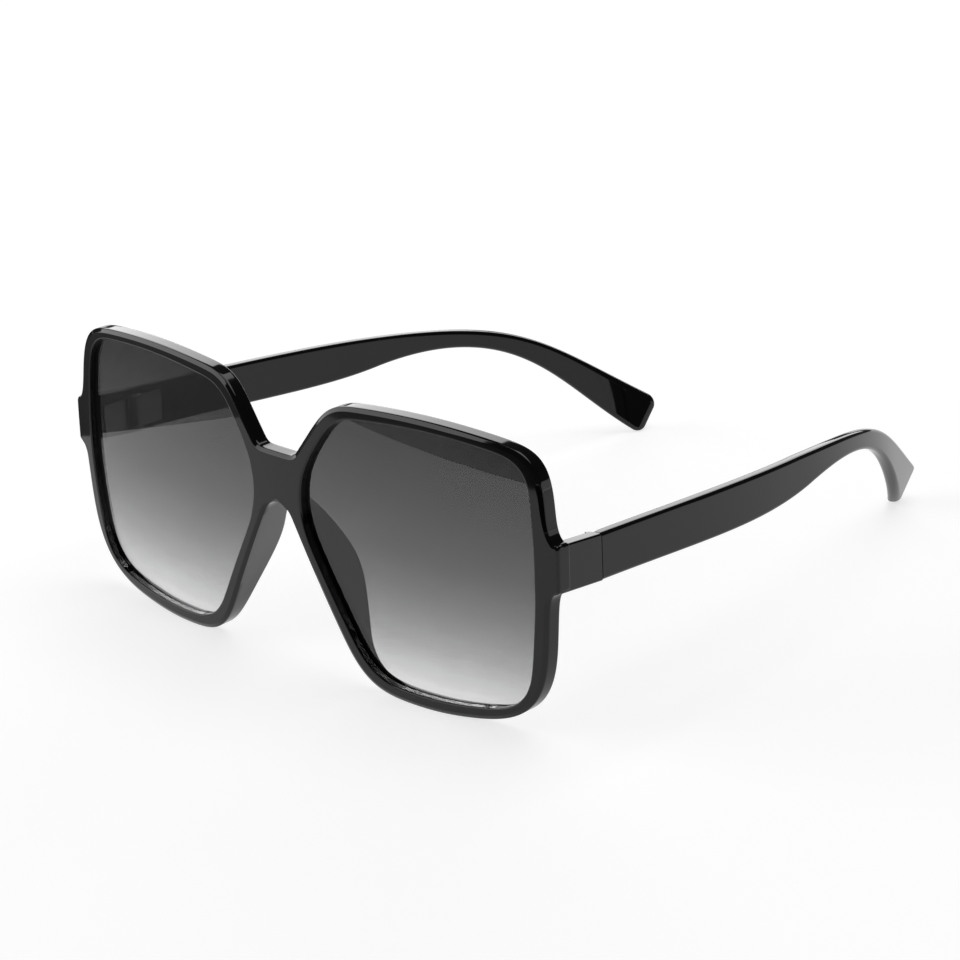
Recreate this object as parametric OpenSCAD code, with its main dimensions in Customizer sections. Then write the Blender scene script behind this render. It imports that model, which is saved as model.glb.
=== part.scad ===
// Sunglasses: a one-piece moulded front with built-in nose pads, two laminated
// polarizing lenses in grooves, and two folding temples on three-knuckle hinges.
// Millimetres, +Z up. The wearer looks along -Y, and left and right are the
// wearer's own, so the left side is at +X. The origin is on the table, under the
// middle of the footprint.

/* [Lens opening] */
// Upper inner corner of the opening, from the middle of the front [x, z]
eye_top_in = [17.2, 27.1]; // [0:0.1:80]
// Upper outer corner of the opening [x, z]
eye_top_out = [65.1, 27.0]; // [0:0.1:80]
// Lower outer corner of the opening [x, z]
eye_low_out = [64.1, -26.3]; // [-40:0.1:80]
// Lower inner corner of the opening [x, z]
eye_low_in = [24.1, -28.6]; // [-40:0.1:80]
// Inner corner of the opening, beside the bridge [x, z]
eye_bridge = [3.7, 8.1]; // [0:0.1:40]
// How far the rounding runs back from the upper inner corner
eye_top_in_cut = 5.8; // [2:0.5:12]
// How far the rounding runs back from the upper outer corner
eye_top_out_cut = 9.2; // [2:0.1:15]
// How far the rounding runs back from the lower outer corner
eye_low_out_cut = 11.8; // [2:0.1:18]
// How far the rounding runs back from the lower inner corner
eye_low_in_cut = 8.0; // [2:0.1:12]
// How far the rounding runs back from the corner beside the bridge
eye_bridge_cut = 12.5; // [4:0.1:16]
// Outward bow of the opening's upper edge
eye_top_bow = 1.05; // [0:0.05:2]
// Outward bow of the opening's outer edge
eye_side_bow = 1.1; // [0:0.05:2]
// Outward bow of the opening's lower edge
eye_low_bow = 0.7; // [0:0.05:2]

/* [Front] */
// Radius of the ball that the face follows
face_r = 360; // [250:10:800]
// Depth of the rim from face to back
rim_d = 3.5; // [3.2:0.1:6]
// Rim width at the upper inner corner, sideways and upwards
rim_top_in_w = [1.7, 2.6]; // [1:0.1:6]
// Rim width at the upper outer corner, sideways and upwards
rim_top_out_w = [2.7, 1.8]; // [1:0.1:6]
// Rim width at the lower outer corner, sideways and downwards
rim_low_out_w = [4.0, 3.0]; // [1:0.1:6]
// Rim width at the lower inner corner, sideways and downwards
rim_low_in_w = [2.2, 2.6]; // [1:0.1:6]
// How far the rounding runs back from the rim's upper inner corner
rim_top_in_cut = 6.2; // [2:0.1:12]
// How far the rounding runs back from the rim's upper outer corner
rim_top_out_cut = 10.0; // [4:0.1:16]
// How far the rounding runs back from the rim's lower outer corner
rim_low_out_cut = 18.5; // [6:0.1:20]
// How far the rounding runs back from the rim's lower inner corner
rim_low_in_cut = 8.6; // [2:0.1:12]
// Width of the sloping band along the rim's front edge
bevel_w = 0.95; // [0.5:0.05:2]
// Depth of the sloping band
bevel_d = 0.4; // [0.2:0.05:1]
// Rounding of the rim's small edges
edge_r = 0.4; // [0.2:0.05:0.6]

/* [Bridge and nose pads] */
// Height of the bridge's upper edge over the middle of the openings
bridge_top = 15.5; // [8:0.1:20]
// Corner beside the bridge's upper edge [x, z]
brow_corner = [5.0, 16.2]; // [3:0.1:20]
// How far the rounding runs back from that corner
brow_cut = 1.5; // [0.5:0.1:3]
// Height of the nose arch over the middle of the openings
arch_top = 5.0; // [0:0.1:7]
// Half width of the nose arch's crown
arch_half_w = 2.3; // [1.5:0.1:4]
// How far the rounding runs back from the arch's corner
arch_cut = 2.0; // [1:0.1:3]
// How far the nose pads stand out behind the rim
pad_h = 8.0; // [2:0.1:11]
// How far the back of a pad leans away from the nose
pad_lean = 1.5; // [0:0.05:3]
// Radius of the pad's rounded tip
pad_r = 0.9; // [0.5:0.05:1.4]
// Height of the pads' upper end over the middle of the openings
pad_top = 3.0; // [0:0.1:6]
// Height below which the pads no longer rise from the arch
pad_full_top = -14.6; // [-20:0.1:-4]
// Height where the pads start to run out
pad_full_low = -5.2; // [-20:0.1:-4]
// Height where the pads have run out, at or below the rim's lower corner
pad_low = -33.2; // [-36:0.1:-28]

/* [Endpieces] */
// How far the endpieces stand out past the openings' upper outer corners
end_w = 6.1; // [4:0.1:9]
// Height of the endpiece's upper edge over the middle of the openings
end_top = 10.7; // [6:0.1:16]
// Height of the endpiece
end_h = 9.9; // [7:0.1:14]
// Height over which the rim flares out into the endpiece from above
flare_h = 7.3; // [2:0.1:8]
// Height over which the rim flares out into the endpiece from below
flare_low_h = 2.8; // [1:0.1:6]
// Outward step of the rim's side where the upper flare starts
flare_step = 0.35; // [0:0.05:2]
// Outward step of the rim's side where the lower flare starts
flare_low_step = 0.7; // [0:0.05:2]
// Rounding of the endpiece's own corners
end_r = 1.0; // [0.6:0.1:2]
// Inset of the arm behind the endpiece from the endpiece's outline
arm_step = 0.55; // [0.4:0.05:0.8]
// Distance from the face's foremost point to the joint with the temple
joint_y = 20.4; // [14:0.1:26]

/* [Lens] */
// Depth of the lens surface behind the face
lens_in = 1.5; // [1:0.1:2.5]
// Thickness of the front and back lens layers
layer_t = 0.45; // [0.4:0.05:0.8]
// Thickness of the polarizing film between them
film_t = 0.2; // [0.1:0.05:0.4]
// Depth that the lens reaches into the rim's groove
lens_lap = 0.9; // [0.4:0.1:1.2]
// Clearance around the lens edge in the groove
lens_gap = 0.08; // [0.05:0.01:0.2]
// Clearance on each side of the lens in the groove
lens_side_gap = 0.02; // [0.01:0.01:0.05]

/* [Temple] */
// How far the temples' outer faces lie in from the endpieces' at the joint
temple_in = 0.8; // [0.6:0.1:2]
// Thickness of the temple at the joint
temple_t = 2.8; // [2.6:0.1:5]
// Thickness at the middle of the temple
temple_mid_t = 2.7; // [2.4:0.1:4.5]
// Thickness at the tip
temple_tip_t = 3.0; // [2.4:0.1:5]
// Inward taper of the straight part, over the temple's reach
temple_lean = 4.3; // [0:0.5:8]
// Inward curl of the tip
temple_curl = 28.2; // [0:0.5:40]
// Distance from the face's foremost point to the end of the tip
reach = 158.3; // [130:1:180]
// Upper edge of the temple at the joint, the bend and the tip [y, z]
temple_up_a = [20.4, 40.4]; // [0:0.1:60]
// First guide point of the upper edge [y, z]
temple_up_b = [42.3, 39.1]; // [0:0.1:100]
// Second guide point of the upper edge [y, z]
temple_up_c = [72.8, 36.8]; // [0:0.1:120]
// Upper edge where the bend starts [y, z]
temple_up_d = [86.4, 35.5]; // [0:0.1:140]
// First guide point of the upper edge round the bend [y, z]
temple_up_e = [129.3, 31.2]; // [0:0.1:150]
// Second guide point of the upper edge round the bend [y, z]
temple_up_f = [129.8, 27.0]; // [0:0.1:160]
// Upper corner of the tip before its rounding [y, z]
temple_up_g = [156.8, 7.7]; // [0:0.1:180]
// Lower edge of the temple at the joint [y, z]
temple_low_a = [20.4, 30.6]; // [0:0.1:60]
// First guide point of the lower edge [y, z]
temple_low_b = [53.6, 28.9]; // [0:0.1:100]
// Second guide point of the lower edge [y, z]
temple_low_c = [72, 25.9]; // [0:0.1:120]
// Lower edge where the bend starts [y, z]
temple_low_d = [90, 28.1]; // [0:0.1:140]
// First guide point of the lower edge round the bend [y, z]
temple_low_e = [126.9, 32.4]; // [0:0.1:150]
// Second guide point of the lower edge round the bend [y, z]
temple_low_f = [135.1, 14.8]; // [0:0.1:160]
// Lower corner of the tip before its rounding [y, z]
temple_low_g = [150.6, 0.48]; // [0:0.1:180]
// Radius of the tip's corners
tip_r = 2.2; // [1:0.1:4]
// Rounding of the temple's long edges at the joint
temple_edge_r = 0.5; // [0.3:0.05:1.2]
// Rounding of the temple's long edges at the tip
tip_edge_r = 1.2; // [0.4:0.1:1.5]

/* [Hinge] */
// Outer radius of the hinge knuckles
knuckle_r = 1.6; // [1.2:0.1:2]
// Length of each knuckle
knuckle_l = 2.4; // [1.6:0.1:3]
// Play between neighbouring knuckles
knuckle_gap = 0.06; // [0.03:0.01:0.12]
// Height of the hinge's middle over the middle of the openings
hinge_z = 4.0; // [3:0.1:8]
// Thickness of a hinge leaf
leaf_t = 1.0; // [0.8:0.1:1.4]
// Length of a hinge leaf from the pivot
leaf_l = 8.0; // [6:0.5:10]
// Radius of the screw's shank
screw_r = 0.7; // [0.5:0.05:0.9]
// Radius of the screw's head
screw_head_r = 1.25; // [1:0.05:1.5]
// Height of the screw's head
screw_head_h = 0.7; // [0.4:0.1:1]
// Width of the screw's slot
slot_w = 0.4; // [0.25:0.05:0.5]
// Depth of the screw's slot
slot_d = 0.35; // [0.2:0.05:0.5]
// Running clearance between the screw and the temple's knuckle
pivot_gap = 0.05; // [0.02:0.01:0.08]
// Fit of the screw in the front's knuckles and of a leaf in its pocket
seat_gap = 0.02; // [0.01:0.01:0.05]
// Room round a knuckle in the front and the temple
notch_gap = 0.25; // [0.15:0.05:0.5]
// Gap between the endpiece and the temple when open
butt_gap = 0.1; // [0.05:0.05:0.3]

/* [Hidden] */

// Colours of the mouldings, the lenses and the metal
frame_ink = [0.02, 0.02, 0.022];
lens_ink = [0.25, 0.25, 0.26, 0.55];
film_ink = [0.3, 0.3, 0.33, 0.5];
steel_ink = [0.6, 0.6, 0.62];

// Facets of the small round parts and of the ball that shapes the lenses
round_fn = 48;
ball_fn = 240;

// Overrun of a cut past the face that it goes through
over = 1;

function mix(a, b, t) = a + (b - a) * t;
function unit(v) = v / norm(v);
function toward(a, b, d) = a + unit(b - a) * d;
function left_of(v) = [-v.y, v.x];

// A smooth step from 0 to 1 as v goes from a to b
function ease(a, b, v) =
  let (t = max(0, min(1, (v - a) / (b - a)))) t * t * (3 - 2 * t);

// Points from a to b, without b, bowed out to the left by bow at the middle
function run(a, b, n, bow = 0) =
  [for (i = [0:n - 1])
    let (t = i / n)
    mix(a, b, t) + left_of(unit(b - a)) * bow * 4 * t * (1 - t)];

// Points on the curve from a to b, without b, that the corner v draws out
function turn(a, v, b, n) =
  [for (i = [0:n - 1])
    let (t = i / n)
    mix(mix(a, v, t), mix(v, b, t), t)];

// A point on the curve with the guide points a, b, c and d
function glide(a, b, c, d, t) =
  let (e = mix(a, b, t), f = mix(b, c, t), g = mix(c, d, t))
  mix(mix(e, f, t), mix(f, g, t), t);

// The two loops of a half front run clockwise from the bridge's top.
// Numbers of points on each stretch
bridge_n = 2;
brow_n = 3;
rise_n = 5;
turn_in_n = 8;
top_n = 10;
turn_out_n = 9;
flare_n = [2, 6, 3, 3, 3, 4, 4];
turn_low_n = 10;
low_n = 8;
turn_low_in_n = 7;
nose_n = 17;
arch_n = 4;
seam_n = 9;

// Outer side and lower edge of the endpiece
end_x = eye_top_out.x + end_w;
end_low = end_top - end_h;

// Corners of the rim's outline follow those of the opening.
rim_top_in = eye_top_in + [-rim_top_in_w.x, rim_top_in_w.y];
rim_top_out = eye_top_out + rim_top_out_w;
rim_low_out = eye_low_out + [rim_low_out_w.x, -rim_low_out_w.y];
rim_low_in = eye_low_in - rim_low_in_w;
arch_corner = [arch_half_w, arch_top];

// Ends of the straight stretches of the opening
brow_up = toward(eye_top_in, eye_bridge, eye_top_in_cut);
brow_down = toward(eye_bridge, eye_top_in, eye_bridge_cut);
nose_up = toward(eye_bridge, eye_low_in, eye_bridge_cut);
nose_down = toward(eye_low_in, eye_bridge, eye_low_in_cut);
side_up = toward(eye_top_out, eye_low_out, eye_top_out_cut);
side_down = toward(eye_low_out, eye_top_out, eye_low_out_cut);

// The outer side of the rim, with the endpiece's flare
rim_up = toward(rim_top_out, rim_low_out, rim_top_out_cut);
rim_down = toward(rim_low_out, rim_top_out, rim_low_out_cut);
flare_top = [rim_up.x + flare_step, end_top + flare_h];
flare_low = [rim_down.x + flare_low_step, end_low - flare_low_h];
side_loop = concat(
  run(rim_up, flare_top, flare_n[0]),
  turn(flare_top, [flare_top.x, end_top], [end_x - end_r, end_top], flare_n[1]),
  turn([end_x - end_r, end_top], [end_x, end_top], [end_x, end_top - end_r], flare_n[2]),
  run([end_x, end_top - end_r], [end_x, end_low + end_r], flare_n[3]),
  turn([end_x, end_low + end_r], [end_x, end_low], [end_x - end_r, end_low], flare_n[4]),
  turn([end_x - end_r, end_low], [flare_low.x, end_low], flare_low, flare_n[5]),
  run(flare_low, rim_down, flare_n[6]));

// Ends of the straight stretches of the rim's outline
brow_in = toward(brow_corner, [0, bridge_top], brow_cut);
brow_out = toward(brow_corner, rim_top_in, brow_cut);
top_start = toward(rim_top_in, rim_top_out, rim_top_in_cut);
low_start = toward(rim_low_out, rim_low_in, rim_low_out_cut);
low_end = toward(rim_low_in, rim_low_out, rim_low_in_cut);
nose_start = toward(rim_low_in, arch_corner, rim_low_in_cut);
nose_end = toward(arch_corner, rim_low_in, arch_cut);
rise_end = toward(rim_top_in, brow_corner, rim_top_in_cut);
top_end = toward(rim_top_out, rim_top_in, rim_top_out_cut);

rim_loop = concat(
  run([0, bridge_top], brow_in, bridge_n),
  turn(brow_in, brow_corner, brow_out, brow_n),
  run(brow_out, rise_end, rise_n),
  turn(rise_end, rim_top_in, top_start, turn_in_n),
  run(top_start, top_end, top_n, eye_top_bow),
  turn(top_end, rim_top_out, rim_up, turn_out_n),
  side_loop,
  turn(rim_down, rim_low_out, low_start, turn_low_n),
  run(low_start, low_end, low_n, eye_low_bow),
  turn(low_end, rim_low_in, nose_start, turn_low_in_n),
  run(nose_start, nose_end, nose_n),
  turn(nose_end, arch_corner, [0, arch_top], arch_n),
  [[0, arch_top]],
  [for (i = [1:seam_n - 1])
    [0, mix(arch_top + bevel_w, bridge_top - bevel_w, i / seam_n)]]);

// A point of the opening's outer edge at the level of a point of the rim's side
function side_eye(p) =
  let (t = (rim_up.y - p.y) / (rim_up.y - rim_down.y))
  mix(side_up, side_down, t) + left_of(unit(side_down - side_up)) * eye_side_bow * 4 * t * (1 - t);

eye_loop = concat(
  run(brow_down, brow_up, bridge_n + brow_n + rise_n),
  turn(brow_up, eye_top_in, toward(eye_top_in, eye_top_out, eye_top_in_cut), turn_in_n),
  run(toward(eye_top_in, eye_top_out, eye_top_in_cut),
    toward(eye_top_out, eye_top_in, eye_top_out_cut), top_n, eye_top_bow),
  turn(toward(eye_top_out, eye_top_in, eye_top_out_cut), eye_top_out, side_up, turn_out_n),
  [for (p = side_loop) side_eye(p)],
  turn(side_down, eye_low_out, toward(eye_low_out, eye_low_in, eye_low_out_cut), turn_low_n),
  run(toward(eye_low_out, eye_low_in, eye_low_out_cut),
    toward(eye_low_in, eye_low_out, eye_low_in_cut), low_n, eye_low_bow),
  turn(toward(eye_low_in, eye_low_out, eye_low_in_cut), eye_low_in, nose_down, turn_low_in_n),
  run(nose_down, nose_up, nose_n + arch_n),
  turn(nose_up, eye_bridge, brow_down, seam_n));

loop_n = len(eye_loop);
seam_at = loop_n - seam_n;

// The rim's lowest point stands on the table.
eye_h = -min([for (p = rim_loop) p.y]);

// Directions square to the loops: away from the opening, and in from the outline
eye_side = [for (i = [0:loop_n - 1])
  left_of(unit(eye_loop[(i + 1) % loop_n] - eye_loop[(i + loop_n - 1) % loop_n]))];
rim_side = [for (i = [0:loop_n - 1])
  i == 0 ? [0, -1] :
  i >= seam_at ? [0, 1] :
  -left_of(unit(rim_loop[i + 1] - rim_loop[i - 1]))];

// How far back the face lies at a point [x, z]
function face_y(p) = face_r - sqrt(face_r * face_r - p.x * p.x - p.y * p.y);

// A point of the front at the place p, a depth d behind the face
function behind(p, d) = [p.x, face_y(p) + d, p.y];

// A rise from 0 at a to 1 at b, steep or soft at its start by the power
function rise(a, b, v, power) = pow(sin(90 * max(0, min(1, (v - a) / (b - a)))), power);

// Share of the full nose pad at a point of the outline: it rises quickly under the
// arch and runs out softly towards the rim's lower corner
pad_rise_power = 0.42;
pad_fall_power = 2.3;
function pad_share(i) =
  let (z = rim_loop[i].y)
  (i < seam_at - nose_n - arch_n - turn_low_in_n || i >= seam_at) ? 0 :
  rise(pad_top, pad_full_top, z, pad_rise_power) * rise(pad_low, pad_full_low, z, pad_fall_power);

// Share of the full bevel, which narrows at the small corners of the endpiece
end_bevel_share = 0.5;
function bevel_share(i) =
  let (first = bridge_n + brow_n + rise_n + turn_in_n + top_n + turn_out_n)
  let (last = first + len(side_loop), z = rim_loop[i].y)
  let (near_end = ease(end_top + flare_h, end_top, z) * ease(end_low - flare_low_h, end_low, z))
  (i < first || i >= last) ? 1 : mix(1, end_bevel_share, near_end);

// Shares of the band's width and depth at the points of its section
bevel_shares = [[1, 0], [0.84, 0.06], [0.16, 0.78], [0.03, 0.96], [0, 1.25]];

// The part of a radius that a point halfway round a rounded edge is set in
soft_share = 1 - cos(45);

// Back of a section, from the outline o to the lip's edge e, as a plain rim
function plain_back(o, v, e) =
  let (r = edge_r, s = edge_r * soft_share)
  [behind(o, (bevel_d + rim_d) / 2), behind(o, rim_d - r), behind(o + v * s, rim_d - s),
    behind(o + v * r, rim_d), behind(mix(o + v * r, e, 1 / 3), rim_d),
    behind(mix(o + v * r, e, 2 / 3), rim_d)];

// The same back with a nose pad, whose flank leans to a rounded tip
function pad_back(o, v) =
  let (r = pad_r, s = pad_r * soft_share, d = rim_d + pad_h)
  [behind(o + v * pad_lean / 3, mix(bevel_d, d - r, 1 / 3)), behind(o + v * pad_lean, d - r),
    behind(o + v * (pad_lean + s), d - s), behind(o + v * (pad_lean + r), d),
    behind(o + v * (pad_lean + 2 * r - s), d - s), behind(o + v * (pad_lean + 2 * r), d - r)];

// One section of the rim, from the front lip over the face and back to the groove
function section(i) =
  let (e = eye_loop[i], u = eye_side[i], o = rim_loop[i], v = rim_side[i])
  let (b = bevel_w * bevel_share(i), r = edge_r, s = edge_r * soft_share)
  let (in_front = lens_in - lens_side_gap)
  let (in_back = lens_in + 2 * layer_t + film_t + lens_side_gap)
  let (groove = lens_lap + lens_gap)
  concat(
    [behind(e, r), behind(e + u * s, s), behind(e + u * r, 0)],
    [for (q = bevel_shares) behind(o + v * b * q.x, bevel_d * q.y)],
    mix(plain_back(o, v, e + u * r), pad_back(o, v), pad_share(i)),
    [behind(e + u * r, rim_d), behind(e + u * s, rim_d - s), behind(e, in_back),
      behind(e + u * groove, in_back), behind(e + u * groove, in_front), behind(e, in_front)]);

rim_sections = [for (i = [0:loop_n - 1]) section(i)];
row_n = len(rim_sections[0]);

// Rows of a section that end at the front's middle plane
seam_front = 3;
seam_back = 11;

// On the middle plane only the two seam rows of the inner stations are used.
function seam_point(p) = [0, p.y, p.z];
left_points = [for (i = [0:loop_n - 1]) for (r = [0:row_n - 1])
  let (p = rim_sections[i][r])
  (i > seam_at && (r == seam_front || r == seam_back)) ?
    behind(rim_loop[i], r == seam_front ? 0 : rim_d) :
  ((i == 0 || i == seam_at) && r >= seam_front && r <= seam_back) ? seam_point(p) : p];
right_points = [for (p = left_points) [-p.x, p.y, p.z]];

function is_seam(i, r) =
  (i == 0 || i >= seam_at) && r >= seam_front && r <= seam_back;

// Number of a point, where the two halves share the points of the middle plane
function at(half, i, r) =
  let (j = i % loop_n, s = r % row_n)
  (half == 1 && !is_seam(j, s)) ? loop_n * row_n + j * row_n + s : j * row_n + s;

// Both halves' faces, left open on the middle plane
function rim_faces(half) =
  [for (i = [0:loop_n - 1]) for (r = [0:row_n - 1])
    if (i < seam_at || r < seam_front || r >= seam_back)
      for (f = [[at(half, i, r), at(half, i, r + 1), at(half, i + 1, r + 1)],
          [at(half, i, r), at(half, i + 1, r + 1), at(half, i + 1, r)]])
        half == 0 ? f : [f[2], f[1], f[0]]];

module rims() {
  polyhedron(points = concat(left_points, right_points),
    faces = concat(rim_faces(0), rim_faces(1)), convexity = 10);
}

// The endpiece arms and the temples are beams with rounded edges.

// Distance of the temples' outer faces at the joint from the middle plane
temple_x = end_x - temple_in;

// Where an arm starts, inside the endpiece, and where it leaves the rim's back
arm_start = face_y([end_x, end_top]) + 2 * bevel_d;
arm_back = face_y([end_x, end_top]) + rim_d + 3 * bevel_d;

// The outer face's distance from the middle plane, at a distance y from the face
function plan_x(y) =
  let (v = (y - joint_y) / (reach - joint_y))
  v < 0 ? mix(temple_x, end_x - arm_step, (joint_y - y) / (joint_y - arm_start)) :
  temple_x - temple_lean * v - temple_curl * v * v * v;

// Direction in the plan from the outer face to the inner face, as [x, y]
function plan_in(y) =
  let (v = max(0, (y - joint_y) / (reach - joint_y)))
  let (slope = -(temple_lean + 3 * temple_curl * v * v) / (reach - joint_y))
  unit([-1, slope]);

// A quarter turn, and the angles of the points of a beam's rounded edge
quarter = 90;
round_angles = [quarter, 60, 30, 0];

// A rounded section: points [depth from the outer face, share of the half height]
function rounded(t, h, r) =
  [for (c = [[r, h - r, quarter], [t - r, h - r, 0], [t - r, r - h, -quarter],
      [r, r - h, -2 * quarter]])
    for (a = round_angles)
      [c.x + r * cos(c.z + a), c.y + r * sin(c.z + a)]];

// A section between an upper and a lower point [y, z] of the beam, of thickness t and
// edge radius r, a depth w in from the beam's outer face. It stands upright at its
// middle's place in the plan.
function beam_section(up, low, t, r, w = 0) =
  let (c = (up + low) / 2, e = unit(up - low), h = norm(up - low) / 2)
  [for (p = rounded(t, h, r))
    let (s = c + e * p.y, n = plan_in(c.x))
    [plan_x(c.x) + n.x * (p.x + w), s.x + n.y * (p.x + w), s.y]];

// A closed solid through a list of sections
module beam(sections) {
  m = len(sections[0]);
  n = len(sections);
  polyhedron(
    points = [for (s = sections) for (p = s) p],
    faces = concat(
      [for (i = [0:n - 2]) for (j = [0:m - 1])
        for (f = [[i * m + j, i * m + (j + 1) % m, (i + 1) * m + (j + 1) % m],
            [i * m + j, (i + 1) * m + (j + 1) % m, (i + 1) * m + j]]) f],
      [[for (j = [m - 1:-1:0]) j]],
      [[for (j = [0:m - 1]) (n - 1) * m + j]]),
    convexity = 6);
}

// The hinge's axis and the height of its lowest knuckle
pivot_x = temple_x - temple_t + leaf_t - knuckle_r;
stack_h = 3 * knuckle_l + 2 * knuckle_gap;
hinge_low = eye_h + hinge_z - stack_h / 2;

// Moves a shape drawn round the pivot to its place
module at_pivot() {
  translate([pivot_x, joint_y, hinge_low]) children();
}

// A knuckle with its bore, at a height z over the lowest knuckle's foot
module knuckle(z, gap) {
  translate([0, 0, z]) difference() {
    cylinder(r = knuckle_r, h = knuckle_l, $fn = round_fn);
    translate([0, 0, -over]) cylinder(r = screw_r + gap, h = knuckle_l + 2 * over, $fn = round_fn);
  }
}

// The web that joins a knuckle to its leaf, on the side s of the pivot
module web(z, s) {
  reach_y = knuckle_r + notch_gap + leaf_t;
  translate([0, s > 0 ? 0 : -reach_y, z]) difference() {
    translate([knuckle_r - leaf_t, 0, 0]) cube([leaf_t, reach_y, knuckle_l]);
    translate([0, s > 0 ? 0 : reach_y, -over])
      cylinder(r = screw_r + knuckle_r / 4, h = knuckle_l + 2 * over, $fn = round_fn);
  }
}

// The flat plate of a leaf, on the side s of the pivot
module plate(s) {
  start = knuckle_r + notch_gap;
  translate([knuckle_r - leaf_t, s > 0 ? start : -leaf_l, 0]) cube([leaf_t, leaf_l - start, stack_h]);
}

// The room that the knuckles and the leaf's plate take in a moulding, open above
// the screw's head so that a driver can reach it
module hinge_room(s) {
  knuckle_room = knuckle_r + notch_gap;
  head_room = screw_head_r + notch_gap;
  above = temple_up_a.y - hinge_low + over;
  translate([0, 0, -notch_gap])
    cylinder(r = knuckle_room, h = stack_h + 2 * notch_gap, $fn = round_fn);
  cylinder(r = head_room, h = above, $fn = round_fn);
  translate([-knuckle_r, s > 0 ? 0 : -leaf_l - seat_gap, -seat_gap])
    cube([2 * knuckle_r + seat_gap, leaf_l + seat_gap, stack_h + 2 * seat_gap]);
}

module front_hinge_leaf() {
  color(steel_ink) at_pivot() {
    plate(-1);
    for (z = [0, 2 * (knuckle_l + knuckle_gap)]) {
      knuckle(z, seat_gap);
      web(z, -1);
    }
  }
}

module temple_hinge_leaf() {
  color(steel_ink) at_pivot() {
    plate(1);
    knuckle(knuckle_l + knuckle_gap, pivot_gap);
    web(knuckle_l + knuckle_gap, 1);
  }
}

module hinge_screw() {
  color(steel_ink) at_pivot() {
    cylinder(r = screw_r, h = stack_h, $fn = round_fn);
    translate([0, 0, stack_h]) difference() {
      cylinder(r = screw_head_r, h = screw_head_h, $fn = round_fn);
      translate([-screw_head_r - over, -slot_w / 2, screw_head_h - slot_d])
        cube([2 * (screw_head_r + over), slot_w, slot_d + over]);
    }
  }
}

// The arm behind an endpiece: upper and lower points of its sections [y, z]
arm_end = joint_y - butt_gap / 2;
arm_up = [[arm_start, end_top + eye_h - arm_step], [arm_back, end_top + eye_h - arm_step],
  [arm_end, temple_up_a.y]];
arm_low = [[arm_start, end_low + eye_h + arm_step], [arm_back, end_low + eye_h + arm_step],
  [arm_end, temple_low_a.y]];

module arm() {
  difference() {
    beam([for (i = [0:len(arm_up) - 1])
      beam_section(arm_up[i], arm_low[i], temple_t, temple_edge_r)]);
    at_pivot() hinge_room(-1);
  }
}

module front_frame() {
  color(frame_ink) {
    translate([0, 0, eye_h]) rims();
    arm();
    mirror([1, 0, 0]) arm();
  }
}

// The ball that bounds a lens surface, a depth d behind the face
module face_ball(d) {
  translate([0, face_r + d, 0]) sphere(r = face_r, $fn = ball_fn);
}

// One layer of the left lens, from depth d, with a thickness t
module lens_layer(d, t) {
  block = 8 * rim_d;
  translate([0, 0, eye_h]) intersection() {
    translate([0, block, 0]) rotate([90, 0, 0]) linear_extrude(height = block)
      polygon([for (i = [0:loop_n - 1]) eye_loop[i] + eye_side[i] * lens_lap]);
    difference() {
      face_ball(d);
      face_ball(d + t);
    }
  }
}

module lens_front_layer() {
  color(lens_ink) lens_layer(lens_in, layer_t);
}

module polarizing_film() {
  color(film_ink) lens_layer(lens_in + layer_t, film_t);
}

module lens_back_layer() {
  color(lens_ink) lens_layer(lens_in + layer_t + film_t, layer_t);
}

// Numbers of sections along the temple, round its bend and over its tip
straight_n = 12;
bend_n = 16;
tip_n = 5;

// Shares of the temple's length at its thinnest place and where the bend starts
waist_share = 0.5;
bend_share = 0.6;

// Angle where the tip's rounding ends, and the share of the edges' radius left there
tip_angle = 84;
tip_left_share = 0.35;

// Thickness of the temple at a share s of its length
function thickness(s) =
  s < waist_share ? mix(temple_t, temple_mid_t, ease(0, waist_share, s)) :
  mix(temple_mid_t, temple_tip_t, ease(waist_share, 1, s));

// Edge radius of the temple at a share s of its length
function edge_radius(s) = mix(temple_edge_r, tip_edge_r, ease(waist_share, 1, s));

// The tip's end runs on along the bend's last stretch, and draws in all round.
temple_dir = unit((temple_up_g + temple_low_g) / 2 - (temple_up_f + temple_low_f) / 2);
tip_side = unit(temple_up_g - temple_low_g);
temple_sections = concat(
  [for (i = [0:straight_n - 1])
    let (t = i / straight_n, gap = [butt_gap / 2 * (1 - t), 0])
    let (up = glide(temple_up_a, temple_up_b, temple_up_c, temple_up_d, t))
    let (low = glide(temple_low_a, temple_low_b, temple_low_c, temple_low_d, t))
    beam_section(up + gap, low + gap, thickness(t * bend_share), edge_radius(t * bend_share))],
  [for (i = [0:bend_n])
    let (t = i / bend_n, s = mix(bend_share, 1, t))
    let (up = glide(temple_up_d, temple_up_e, temple_up_f, temple_up_g, t))
    let (low = glide(temple_low_d, temple_low_e, temple_low_f, temple_low_g, t))
    beam_section(up, low, thickness(s), edge_radius(s))],
  [for (i = [1:tip_n])
    let (a = tip_angle * i / tip_n, in = 1 - cos(a))
    let (step = temple_dir * tip_r * sin(a), side = tip_side * tip_r * in)
    let (thin = tip_edge_r * (1 - tip_left_share) * in)
    beam_section(temple_up_g + step - side, temple_low_g + step + side,
      temple_tip_t - 2 * thin, tip_edge_r - thin, thin)]);

module temple() {
  color(frame_ink) difference() {
    beam(temple_sections);
    at_pivot() hinge_room(1);
  }
}

// The middle of the footprint lies halfway from the face to the tips' ends.
mid_y = max([for (s = temple_sections) for (p = s) p.y]) / 2;

// Moves the footprint's middle to the origin
module placed() {
  translate([0, -mid_y, 0]) children();
}

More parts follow.
